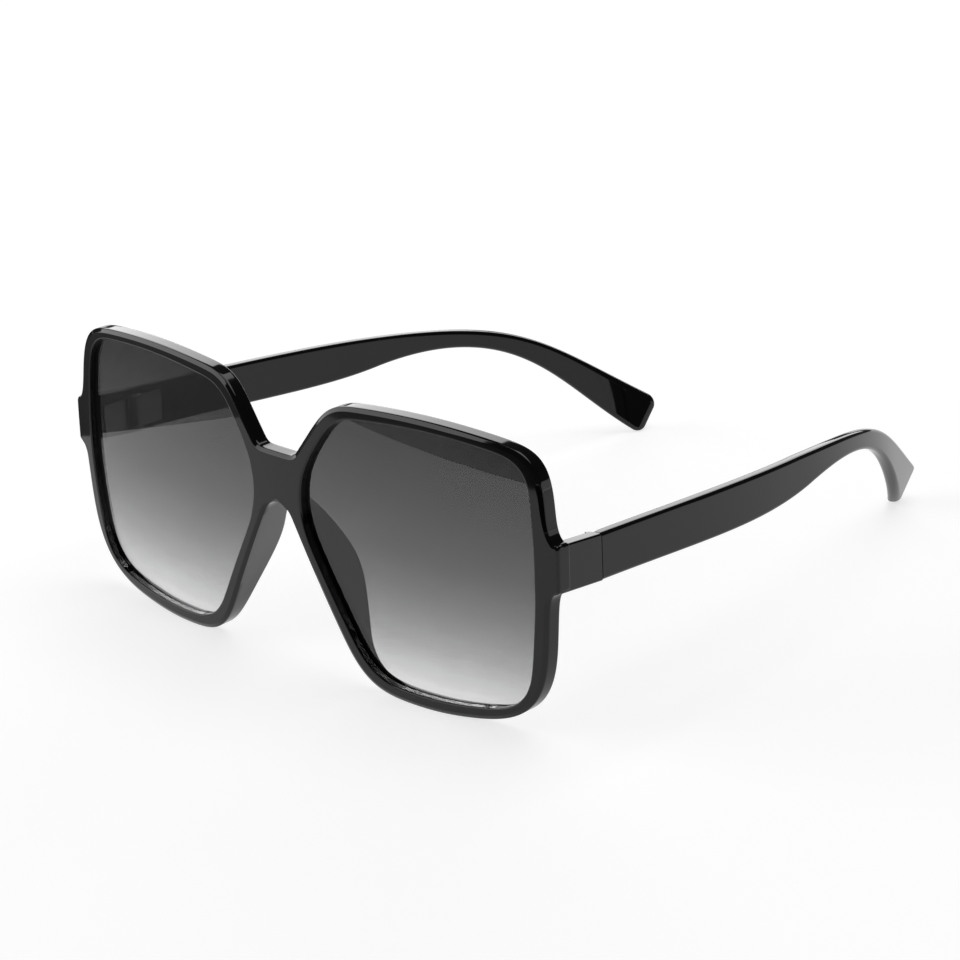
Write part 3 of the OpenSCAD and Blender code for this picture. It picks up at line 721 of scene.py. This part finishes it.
    def sections(self) -> tuple[np.ndarray, int, int]:
        """Every station's section: lip, face, bevel, back, rear lip and groove.

        A section is a list of (place, depth) pairs. The back mixes a plain rounded back
        with a nose pad's leaning flank and round tip by the pad's share.

        Returns:
            Points [station, row, 3], and the rows where the middle plane's strip starts
            and ends.
        """
        e, u, o, v = self.eye, self.eye_out(), self.rim, self.rim_in()
        bevel = (self.bevel_w * self._bevel_share())[:, None]
        r, d, m = self.edge_r, self.rim_d, self.round_n
        quarter = np.linspace(0, np.pi / 2, m + 1)
        rows: list[tuple[np.ndarray, np.ndarray | float]] = []
        rows += [(e + u * r * (1 - math.cos(a)), r * (1 - math.sin(a))) for a in quarter]
        face_end = o + v * bevel
        face_end[self.seam_at + 1:] = o[self.seam_at + 1:]
        rows += [(mix(e + u * r, face_end, s), 0.0) for s in self.face_shares]
        front = len(rows)
        rows += [(o + v * bevel * x, self.bevel_d * y) for x, y in self.bevel_shares]
        pad = self._pad_share()[:, None]
        tip, full = self.pad_r, d + self.pad_h
        lip = e + u * r
        below = self.bevel_d * self.bevel_shares[-1][1]
        to_lip = np.linspace(0, self.back_share, m + 1)[1:]
        plain = [(o, mix(below, d - r, s)) for s in self.side_shares]
        plain += [(o + v * r * (1 - math.cos(a)), d - r + r * math.sin(a)) for a in quarter]
        plain += [(mix(o + v * r, lip, s), d) for s in to_lip]
        padded = [(o + v * self.pad_lean * s, mix(below, full - tip, s)) for s in self.side_shares]
        padded += [(o + v * (self.pad_lean + tip * (1 - math.cos(a))), full - tip + tip * math.sin(a))
                   for a in np.linspace(0, np.pi, 2 * m + 1)]
        back = front + len(self.bevel_shares) + len(self.side_shares) + m
        rows += [(mix(p[0], q[0], pad), mix(p[1], q[1], pad[:, 0])) for p, q in zip(plain, padded)]
        rows += [(e + u * r * (1 - math.sin(a)), d - r + r * math.cos(a)) for a in quarter]
        in_front = self.lens_in - self.lens_side_gap
        in_back = self.lens_in + self.lens_t + self.lens_side_gap
        groove = self.lens_lap + self.lens_gap
        rows += [(e, in_back), (e + u * groove, in_back), (e + u * groove, in_front), (e, in_front)]
        points = np.stack([self.behind(p, q) for p, q in rows], 1)

        strip = slice(front, back + 1)
        points[[0, self.seam_at], strip, 0] = 0.0
        inner = slice(self.seam_at + 1, None)
        points[inner, front] = self.behind(o[inner], 0.0)
        points[inner, back] = self.behind(o[inner], d)
        start, end = points[inner, back][:, None], self.behind(lip, d)[inner][:, None]
        points[inner, back + 1:back + 1 + m] = mix(start, end, to_lip[None, :, None])
        return points, front, back

    def rims(self, mid_y: float) -> bpy.types.Object:
        """The rims, bridge and pads as one closed surface.

        The grid of stations and rows is mirrored, and both halves share the points of the
        middle plane, where the strip between the seam's two rows stays open.

        Args:
            mid_y: Depth of the footprint's middle behind the face.

        Returns:
            The object.
        """
        points, front, back = self.sections()
        points = points - [0.0, mid_y, 0.0]
        n, m = points.shape[:2]
        own = np.arange(n * m)
        station, row = own // m, own % m
        shared = ((station == 0) | (station >= self.seam_at)) & (row >= front) & (row <= back)
        other = np.where(shared, own, own + n * m)
        quads = grid_quads(n, m, True, True)
        i, j = quads[:, 0] // m, quads[:, 0] % m
        quads = quads[(i < self.seam_at) | (j < front) | (j >= back)]
        both = np.concatenate([points.reshape(-1, 3), points.reshape(-1, 3) * [-1.0, 1.0, 1.0]])
        faces = quads.tolist() + other[quads][:, ::-1].tolist()
        return solid("front_rims", both, faces)


# Arms and temples


@dataclass
class Plan:
    """The plan of the arms and temples: where their outer faces run, from the face back.

    The joint's place and sizes are those of the flat ends where an arm and a temple meet.
    """

    end_x: float = 71.2
    start_y: float = 8.0
    joint_y: float = 20.4
    joint_up: float = 40.4
    joint_low: float = 30.6
    joint_t: float = 2.8
    butt_gap: float = 0.2
    temple_x: float = 70.4
    reach: float = 158.3
    lean: float = 4.3
    curl: float = 28.2
    arm_inset: float = 0.015

    def outer_x(self, y: np.ndarray) -> np.ndarray:
        """The outer face's X: a straight run to the joint, then a lean plus a cubic curl."""
        v = (y - self.joint_y) / (self.reach - self.joint_y)
        ahead = (self.joint_y - y) / (self.joint_y - self.start_y)
        return np.where(v < 0, mix(self.temple_x, self.end_x - self.arm_inset, ahead),
                        self.temple_x - self.lean * v - self.curl * v ** 3)

    def inward(self, y: np.ndarray) -> np.ndarray:
        """Directions [x, y] square to the outer face, towards the inner face."""
        v = np.maximum(0.0, (y - self.joint_y) / (self.reach - self.joint_y))
        slope = -(self.lean + 3 * self.curl * v * v) / (self.reach - self.joint_y)
        return unit(np.stack([-np.ones_like(slope), slope], -1))

    def sections(self, up: np.ndarray, low: np.ndarray, thick: np.ndarray, edge_r: np.ndarray,
                 depth: np.ndarray, n: int = 6) -> np.ndarray:
        """Rounded sections of a beam between its upper and lower edges.

        Each is a rectangle of the beam's thickness and height with round corners, set
        square to the plan at its middle.

        Args:
            up: Upper edge's points [y, z].
            low: Lower edge's points [y, z].
            thick: Thickness at each section.
            edge_r: Radius of each section's corners.
            depth: Depth of each section in from the beam's outer face.
            n: Steps round a corner.

        Returns:
            Points [section, corner point, 3].
        """
        middle, rise_dir = (up + low) / 2, unit(up - low)
        half, t, r = np.linalg.norm(up - low, axis=-1) / 2, thick, edge_r
        corners = [(r, half - r, 90.0), (t - r, half - r, 0.0),
                   (t - r, r - half, -90.0), (r, r - half, -180.0)]
        angles = np.radians(np.linspace(90, 0, n + 1))
        across = np.stack([x + r * math.cos(math.radians(z) + a) for x, _, z in corners for a in angles], -1)
        height = np.stack([y + r * math.sin(math.radians(z) + a) for _, y, z in corners for a in angles], -1)
        side = middle[:, None] + rise_dir[:, None] * height[..., None]
        across = across + depth[:, None]
        inner = self.inward(middle[:, 0])[:, None]
        x = self.outer_x(middle[:, 0])[:, None] + inner[..., 0] * across
        return np.stack([x, side[..., 0] + inner[..., 1] * across, side[..., 1]], -1)


def beam(name: str, sections: np.ndarray, seat: Seat) -> bpy.types.Object:
    """A closed beam through sections, on one side of the wearer.

    Args:
        name: Name of the object.
        sections: Points [section, corner point, 3] of the left side.
        seat: Where it goes.

    Returns:
        The object.
    """
    n, m = sections.shape[:2]
    points = seat.move(sections.reshape(-1, 3))
    faces = grid_quads(n, m, False, True).tolist()
    faces += [list(range(m - 1, -1, -1)), list(range((n - 1) * m, n * m))]
    return solid(name, points, faces, BEAM_CREASE)


@dataclass
class Hinge:
    """The three-knuckle hinge's room in the mouldings round it."""

    hinge_z: float = 4.0
    knuckles: int = 3
    knuckle_r: float = 1.6
    knuckle_l: float = 2.4
    knuckle_gap: float = 0.06
    leaf_t: float = 1.0
    leaf_l: float = 8.0
    head_r: float = 1.25
    seat_gap: float = 0.02
    notch_gap: float = 0.25
    overrun: float = 12.0

    def rooms(self, direction: int, plan: Plan, eye_h: float, seat: Seat) -> list[Shape]:
        """Rooms for the knuckles, the screw's head and the leaf.

        Args:
            direction: 1 for the temple's room behind the pivot, -1 for the arm's before it.
            plan: The plan, whose joint places the pivot.
            eye_h: Height of the front's middle over the table.
            seat: Where it goes.

        Returns:
            Each room's shape.
        """
        stack = self.knuckles * self.knuckle_l + (self.knuckles - 1) * self.knuckle_gap
        foot = np.array([plan.temple_x - plan.joint_t + self.leaf_t - self.knuckle_r, plan.joint_y,
                         eye_h + self.hinge_z - stack / 2])
        reach = self.leaf_l + self.seat_gap
        start = 0.0 if direction > 0 else -reach
        shapes = [drum(self.knuckle_r + self.notch_gap, -self.notch_gap, stack + self.notch_gap),
                  drum(self.head_r + self.notch_gap, 0.0, self.overrun),
                  block((-self.knuckle_r, start, -self.seat_gap),
                        (self.knuckle_r + self.seat_gap, start + reach, stack + self.seat_gap))]
        return [(seat.move(points + foot), faces) for points, faces in shapes]


@dataclass
class Arm:
    """The arm that carries the hinge behind an endpiece."""

    depth: float = 0.8
    edge_r: float = 0.5
    rings: int = 16

    def build(self, front: FrontMoulding, plan: Plan, hinge: Hinge, seat: Seat) -> bpy.types.Object:
        """The arm, which tapers from the endpiece to the joint, with the hinge's room cut out.

        Args:
            front: The front, whose endpiece it stands on.
            plan: The plan that the outer face follows.
            hinge: The hinge whose room is cut.
            seat: Where it goes.

        Returns:
            The object.
        """
        start = float(front.face_y(np.array([front.front_w / 2, front.end_top]))) + self.depth
        top = front.end_top + front.eye_h - plan.arm_inset
        low = front.end_top - front.end_h + front.eye_h + plan.arm_inset
        t, end = np.linspace(0, 1, self.rings)[:, None], plan.joint_y - plan.butt_gap / 2
        up = mix(np.array([start, top]), np.array([end, plan.joint_up]), t)
        down = mix(np.array([start, low]), np.array([end, plan.joint_low]), t)
        even = np.ones(len(up))
        sections = plan.sections(up, down, plan.joint_t * even, self.edge_r * even, 0 * even)
        piece = beam(f"{seat.side.word}_front_arm", sections, seat)
        carve(piece, hinge.rooms(-1, plan, front.eye_h, seat))
        return piece


@dataclass
class Temple:
    """A folding temple: a straight part that narrows, a bend over the ear and a flared, flat tip.

    From the joint each edge follows two cubic curves in turn, through the guide points
    [y, z] given here, of which the third ends one curve and starts the next.
    """

    ups: tuple[tuple[float, float], ...] = (
        (42.3, 39.1), (72.8, 36.8), (86.4, 35.5), (129.3, 31.2), (129.8, 27.0), (156.8, 7.7))
    lows: tuple[tuple[float, float], ...] = (
        (53.6, 28.9), (72.0, 25.9), (90.0, 28.1), (126.9, 32.4), (135.1, 14.8), (150.6, 0.48))
    waist_t: float = 2.7
    tip_t: float = 3.0
    waist_share: float = 0.5
    bend_share: float = 0.6
    edge_r: tuple[float, float] = (0.9, 1.25)
    tip_r: float = 2.2
    tip_left_share: float = 0.3
    straight_n: int = 60
    bend_n: int = 90
    tip_n: int = 22

    def thickness(self, joint_t: float, s: np.ndarray) -> np.ndarray:
        """Thickness at shares of the length: eased from the joint to the waist and on to the tip."""
        return np.where(s < self.waist_share, mix(joint_t, self.waist_t, ease(0.0, self.waist_share, s)),
                        mix(self.waist_t, self.tip_t, ease(self.waist_share, 1.0, s)))

    def sections(self, plan: Plan) -> np.ndarray:
        """Sections from the joint to the tip.

        Two cubic curves meet at the bend's start on each edge. Over the tip the sections
        advance by a radius times the sine of an angle, and draw in all round by a radius
        times one less its cosine.

        Args:
            plan: The plan that the outer face follows.

        Returns:
            Points [section, corner point, 3].
        """
        ups = np.array([(plan.joint_y, plan.joint_up), *self.ups])
        lows = np.array([(plan.joint_y, plan.joint_low), *self.lows])
        t = np.arange(self.straight_n) / self.straight_n
        gap = np.stack([plan.butt_gap / 2 * (1 - t), 0 * t], -1)
        s = np.linspace(0, 1, self.bend_n + 1)
        a = np.radians(np.linspace(0, 90.0, self.tip_n + 1)[1:])
        way = unit((ups[-1] + lows[-1]) / 2 - (ups[-2] + lows[-2]) / 2)
        step = way * self.tip_r * np.sin(a)[:, None]
        draw = unit(ups[-1] - lows[-1]) * self.tip_r * (1 - np.cos(a))[:, None]
        up = np.concatenate([glide(*ups[:4], t) + gap, glide(*ups[3:], s), ups[-1] + step - draw])
        low = np.concatenate([glide(*lows[:4], t) + gap, glide(*lows[3:], s), lows[-1] + step + draw])
        share = np.concatenate([t * self.bend_share, mix(self.bend_share, 1.0, s), np.ones(len(a))])
        edge = mix(*self.edge_r, ease(self.waist_share, 1.0, share))
        tip_thin = self.edge_r[1] * (1 - self.tip_left_share) * (1 - np.cos(a))
        thin = np.concatenate([np.zeros(len(t) + len(s)), tip_thin])
        return plan.sections(up, low, self.thickness(plan.joint_t, share) - 2 * thin, edge - thin, thin)

    def build(self, plan: Plan, front: FrontMoulding, hinge: Hinge, seat: Seat) -> bpy.types.Object:
        """The temple with the hinge's room cut out.

        Args:
            plan: The plan that the outer face follows.
            front: The front, whose height places the hinge.
            hinge: The hinge whose room is cut.
            seat: Where it goes.

        Returns:
            The object.
        """
        piece = beam(f"{seat.side.word}_temple_shell", self.sections(plan), seat)
        carve(piece, hinge.rooms(1, plan, front.eye_h, seat))
        return piece


# Lenses


@dataclass
class Layer:
    """One layer of a lens: its node, its depth behind the face, its thickness and its slot.

    Facing is the Y direction of its side that meets the air: -1, 1, or 0 for none. The
    other sides are bonded, so they don't reflect.
    """

    node: str
    depth: float
    thick: float
    slot: Slot
    facing: int


@dataclass
class Lens:
    """A laminated lens: a front layer, the polarizing film and a back layer.

    All three are bonded, so only the first side and the last one reflect and bend light.
    """

    lens_in: float = 1.5
    layer_t: float = 0.45
    film_t: float = 0.2
    lap: float = 0.88
    slip: float = 0.006
    rings: int = 20
    skip: int = 2
    ior: float = 1.48
    bonded_ior: float = 1.001
    facing_share: float = 0.5
    tints: tuple[tuple[float, float], ...] = (
        (0.0, 0.93), (0.06, 0.87), (0.19, 0.735), (0.36, 0.568), (0.53, 0.47), (0.87, 0.325), (1.0, 0.3))

    def layers(self) -> list[Layer]:
        """The three layers from the front back."""
        back = self.lens_in + self.layer_t + self.film_t
        return [Layer("lens_front_layer", self.lens_in, self.layer_t, Slot.LENS, -1),
                Layer("polarizing_film", self.lens_in + self.layer_t, self.film_t, Slot.FILM, 0),
                Layer("lens_back_layer", back, self.layer_t, Slot.LENS, 1)]

    def finishes(self, front: FrontMoulding) -> tuple[bpy.types.Material, bpy.types.Material]:
        """The finishes of a bonded side and of a side that meets the air."""
        low = float(front.eye[:, 1].min()) + front.eye_h
        high = float(front.eye[:, 1].max()) + front.eye_h
        return (TintedLayer("bonded_smoke_layer", self.bonded_ior, low, high, self.tints).build(),
                TintedLayer("polished_smoke_layer", self.ior, low, high, self.tints).build())

    def polish(self, shell: bpy.types.Object, layer: Layer, polished: bpy.types.Material) -> None:
        """Gives the side of a layer that meets the air its polished finish.

        Args:
            shell: The layer's object, which has its bonded finish.
            layer: The layer.
            polished: The finish of a side that meets the air.
        """
        mesh = shell.data
        normals = np.empty(len(mesh.polygons) * 3)
        mesh.polygons.foreach_get("normal", normals)
        mesh.materials.append(polished)
        in_air = normals.reshape(-1, 3)[:, 1] * layer.facing > self.facing_share
        mesh.polygons.foreach_set("material_index", in_air.astype(np.int32))

    def shell(self, front: FrontMoulding, layer: Layer, seat: Seat) -> bpy.types.Object:
        """One layer as a closed shell between two balls.

        Rings run from the opening's middle out to its edge on the front, and back in on
        the back. A ring's points lie a share of the way from the middle to the edge.

        Args:
            front: The front, whose opening the lens fills.
            layer: The layer.
            seat: Where it goes.

        Returns:
            The object.
        """
        edge = (front.eye + front.eye_out() * self.lap)[::self.skip]
        middle = edge.mean(0)
        shares = np.sin(np.linspace(0, np.pi / 2, self.rings + 1))[1:]
        flat = middle + (edge - middle) * shares[:, None, None]
        near, far = layer.depth + self.slip, layer.depth + layer.thick - self.slip
        rings = np.concatenate([front.behind(flat, near), front.behind(flat, far)[::-1]])
        poles = front.behind(np.stack([middle, middle]), np.array([near, far]))
        count, n = rings.shape[:2]
        faces = grid_quads(count, n, False, True).tolist()
        j = np.arange(n)
        faces += np.stack([np.full(n, count * n), (j + 1) % n, j], -1).tolist()
        last = (count - 1) * n
        faces += np.stack([np.full(n, count * n + 1), last + j, last + (j + 1) % n], -1).tolist()
        points = np.concatenate([rings.reshape(-1, 3), poles])
        return solid(f"{seat.side.word}_{layer.node}_shell", seat.move(points), faces)


# Assembly


def dress(piece: bpy.types.Object, material: bpy.types.Material) -> None:
    """Gives a piece its finish, and reports it.

    Args:
        piece: The object.
        material: Its finish.
    """
    piece.data.materials.clear()
    piece.data.materials.append(material)
    LOG.info("%s: %s, %d faces", piece.name, material.name, len(piece.data.polygons))


@dataclass
class Sunglasses:
    """The whole pair, from its sub-assemblies."""

    front: FrontMoulding = field(default_factory=FrontMoulding)
    plan: Plan = field(default_factory=Plan)
    hinge: Hinge = field(default_factory=Hinge)
    arm: Arm = field(default_factory=Arm)
    temple: Temple = field(default_factory=Temple)
    lens: Lens = field(default_factory=Lens)

    def __post_init__(self) -> None:
        """Works out how far the footprint's middle lies behind the face."""
        self.mid_y = -float(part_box("front_frame")[0][1]) / MM + self.front_lead()

    def front_lead(self) -> float:
        """Depth of the front's foremost point, which lies on the bridge's middle line."""
        return float(self.front.sections()[0][..., 1].min())

    def build(self) -> None:
        """Builds and dresses every piece."""
        plastic = GlossPlastic().build()
        bonded, polished = self.lens.finishes(self.front)
        rims = self.front.rims(self.mid_y)
        dress(rims, plastic)
        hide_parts("front_frame")
        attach(rims, "front")
        for side in Side:
            self.build_side(side, plastic)
            self.build_lens(side, bonded, polished)
        self.dress_hinges()

    def build_side(self, side: Side, plastic: bpy.types.Material) -> None:
        """Builds one side's arm and temple.

        Args:
            side: The wearer's side.
            plastic: The mouldings' finish.
        """
        seat = Seat(side, self.mid_y)
        arm = self.arm.build(self.front, self.plan, self.hinge, seat)
        dress(arm, plastic)
        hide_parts("front_frame")
        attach(arm, "front")
        temple = self.temple.build(self.plan, self.front, self.hinge, seat)
        dress(temple, plastic)
        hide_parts(f"{side.word}_temple")
        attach(temple, f"{side.word}_side")

    def build_lens(self, side: Side, bonded: bpy.types.Material, polished: bpy.types.Material) -> None:
        """Builds one side's lens.

        Args:
            side: The wearer's side.
            bonded: The finish of the layers' bonded sides.
            polished: The finish of the sides that meet the air.
        """
        for layer in self.lens.layers():
            shell = self.lens.shell(self.front, layer, Seat(side, self.mid_y))
            dress(shell, bonded)
            if layer.facing:
                self.lens.polish(shell, layer, polished)
            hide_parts(f"{side.word}_{layer.node}")
            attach(shell, "front")

    def dress_hinges(self) -> None:
        """Gives the hinge leaves and screws their metals."""
        leaf = BrushedSteel("brushed_hinge_steel").build()
        screw = BrushedSteel("turned_screw_steel", rough_low=0.16, rough_high=0.3,
                             lines=(1.0, 1.0, 6.0)).build()
        for name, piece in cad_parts.items():
            if name.endswith("hinge_leaf"):
                dress(piece, leaf)
            elif name.endswith("hinge_screw"):
                dress(piece, screw)


# Studio


@dataclass(frozen=True)
class Softbox:
    """A rectangular soft lamp that faces a point, in metres and watts."""

    name: str
    place: tuple[float, float, float]
    aim: tuple[float, float, float]
    width: float
    height: float
    power: float

    def build(self) -> None:
        """Adds the lamp, which the camera doesn't see."""
        data = bpy.data.lights.new(self.name, "AREA")
        data.shape, data.size, data.size_y, data.energy = "RECTANGLE", self.width, self.height, self.power
        lamp = put(self.name, data)
        lamp.visible_camera = False
        back = unit(np.array(self.place) - np.array(self.aim))
        right = unit(np.cross([0.0, 0.0, 1.0], back))
        turn_to(lamp, (right, np.cross(back, right), back), self.place)


@dataclass(frozen=True)
class Card:
    """A black card just over the table that only reflections see, as if the table ended there.

    The corners [x, y] are in metres.
    """

    name: str
    corners: tuple[tuple[float, float], ...]
    lift: float = 0.0004
    tone: float = 0.01

    def build(self) -> None:
        """Adds the card, hidden from every ray but reflections."""
        mesh = bpy.data.meshes.new(self.name)
        mesh.from_pydata([(x, y, self.lift) for x, y in self.corners], [], [list(range(len(self.corners)))])
        card = put(self.name, mesh)
        card.visible_camera = card.visible_diffuse = card.visible_transmission = card.visible_shadow = False
        material = bpy.data.materials.new(f"black_{self.name}")
        material.use_nodes = True
        shader = material.node_tree.nodes["Principled BSDF"]
        shader.inputs["Base Color"].default_value = (self.tone,) * 3 + (1.0,)
        mesh.materials.append(material)


@dataclass
class Studio:
    """A white table, soft lamps, black cards and the camera at the photographed angle.

    Angles are in degrees, and the camera's place is in millimetres from the face's
    foremost point. The sky's stops are heights and tones.
    """

    azimuth: float = 45.204
    elevation: float = 20.545
    roll: float = -2.548
    place: tuple[float, float, float] = (492.85, -431.22, 284.09)
    focal_px: float = 3468.0
    image_px: float = 960.0
    sensor_mm: float = 36.0
    floor_half: float = 6.0
    floor_tone: float = 0.45
    table_glow: float = 0.72
    sky_stops: tuple[tuple[float, float], ...] = ((0.0, 0.08), (0.5, 0.05), (1.0, 0.07))
    softboxes: tuple[Softbox, ...] = (
        Softbox("overhead_softbox", (0.1, 0.35, 1.4), (0.0, 0.0, 0.0), 1.2, 1.0, 8.0),
        Softbox("back_softbox", (-1.18, 1.28, 0.66), (0.0, 0.0, 0.03), 1.7, 0.9, 13.0),
        Softbox("front_softbox", (-1.4, -1.2, 0.6), (0.0, 0.0, 0.03), 1.8, 1.3, 20.0),
        Softbox("right_softbox", (1.5, 1.1, 0.17), (0.0, 0.0, 0.17), 1.0, 0.32, 1.1))
    cards: tuple[Card, ...] = (
        Card("front_card", ((-1.6, -2.4), (1.6, -2.4), (1.6, -0.13), (-0.16, -0.2625))),
        Card("side_card", ((-2.4, -2.4), (-1.6, -2.4), (-0.16, -0.2625), (-0.16, 0.12), (-2.4, 0.12))))

    def build(self, mid_y: float) -> None:
        """Sets up the table, the light and the camera.

        Args:
            mid_y: Depth of the footprint's middle behind the face, in millimetres.
        """
        bpy.context.scene.view_settings.view_transform = "Standard"
        self.table()
        self.sky()
        for prop in self.softboxes + self.cards:
            prop.build()
        self.camera(mid_y)

    def table(self) -> None:
        """The table: pale and matt, with its white added for the rays that see it."""
        corners = self.floor_half * np.array([(-1, -1, 0), (1, -1, 0), (1, 1, 0), (-1, 1, 0)])
        mesh = bpy.data.meshes.new("table_top")
        mesh.from_pydata(corners.tolist(), [], [[0, 1, 2, 3]])
        top = put("table_top", mesh)
        material = bpy.data.materials.new("white_table")
        material.use_nodes = True
        tree = material.node_tree
        tree.nodes.clear()
        new, link = tree.nodes.new, tree.links.new
        matt, glow, both, out = (new(f"ShaderNode{kind}") for kind in (
            "BsdfDiffuse", "Emission", "AddShader", "OutputMaterial"))
        matt.inputs["Color"].default_value = (self.floor_tone,) * 3 + (1.0,)
        link(self.seen(tree, self.table_glow), glow.inputs["Strength"])
        link(matt.outputs["BSDF"], both.inputs[0])
        link(glow.outputs["Emission"], both.inputs[1])
        link(both.outputs["Shader"], out.inputs["Surface"])
        mesh.materials.append(material)

    def seen(self, tree: bpy.types.NodeTree, strength: float) -> bpy.types.NodeSocket:
        """A strength for camera, glossy and transmission rays, and none for the rest."""
        path = tree.nodes.new("ShaderNodeLightPath")
        first, second, scale = (tree.nodes.new("ShaderNodeMath") for _ in range(3))
        first.operation, second.operation, scale.operation = "MAXIMUM", "MAXIMUM", "MULTIPLY"
        tree.links.new(path.outputs["Is Camera Ray"], first.inputs[0])
        tree.links.new(path.outputs["Is Glossy Ray"], first.inputs[1])
        tree.links.new(first.outputs[0], second.inputs[0])
        tree.links.new(path.outputs["Is Transmission Ray"], second.inputs[1])
        tree.links.new(second.outputs[0], scale.inputs[0])
        scale.inputs[1].default_value = strength
        return scale.outputs[0]

    def sky(self) -> None:
        """The studio's dark walls, which look white to the camera and through the lenses."""
        world = bpy.data.worlds.new("studio_walls")
        bpy.context.scene.world = world
        world.use_nodes = True
        tree = world.node_tree
        tree.nodes.clear()
        new, link = tree.nodes.new, tree.links.new
        place, split, ramp, glow, out = (new(f"ShaderNode{kind}") for kind in (
            "TexCoord", "SeparateXYZ", "ValToRGB", "Background", "OutputWorld"))
        link(place.outputs["Generated"], split.inputs["Vector"])
        link(split.outputs["Z"], ramp.inputs["Fac"])
        fill_ramp(ramp.color_ramp, self.sky_stops)
        shown, path, either = new("ShaderNodeMix"), new("ShaderNodeLightPath"), new("ShaderNodeMath")
        shown.data_type, either.operation = "RGBA", "MAXIMUM"
        link(path.outputs["Is Camera Ray"], either.inputs[0])
        link(path.outputs["Is Transmission Ray"], either.inputs[1])
        link(either.outputs[0], shown.inputs["Factor"])
        link(ramp.outputs["Color"], shown.inputs["A"])
        shown.inputs["B"].default_value = (1.0, 1.0, 1.0, 1.0)
        link(shown.outputs["Result"], glow.inputs["Color"])
        link(glow.outputs["Background"], out.inputs["Surface"])

    def camera(self, mid_y: float) -> None:
        """The camera, turned by its azimuth, elevation and roll.

        Args:
            mid_y: Depth of the footprint's middle behind the face, in millimetres.
        """
        a, e, r = (math.radians(v) for v in (self.azimuth, self.elevation, self.roll))
        back = np.array([math.sin(a) * math.cos(e), -math.cos(a) * math.cos(e), math.sin(e)])
        right = unit(np.cross(-back, [0.0, 0.0, 1.0]))
        up = np.cross(right, -back)
        right, up = math.cos(r) * right + math.sin(r) * up, math.cos(r) * up - math.sin(r) * right
        place = (np.array(self.place) - [0.0, mid_y, 0.0]) * MM
        data = bpy.data.cameras.new("camera")
        data.sensor_width = self.sensor_mm
        data.lens = self.focal_px / self.image_px * self.sensor_mm
        camera = put("camera", data)
        turn_to(camera, (right, up, back), place)
        bpy.context.scene.camera = camera


def main() -> None:
    """Builds the pair and its studio in order."""
    logging.basicConfig(level=logging.INFO, format="%(name)s: %(message)s", stream=sys.stdout)
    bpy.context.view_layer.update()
    pair = Sunglasses()
    pair.build()
    Studio().build(pair.mid_y)


if __name__ == "__main__":
    main()
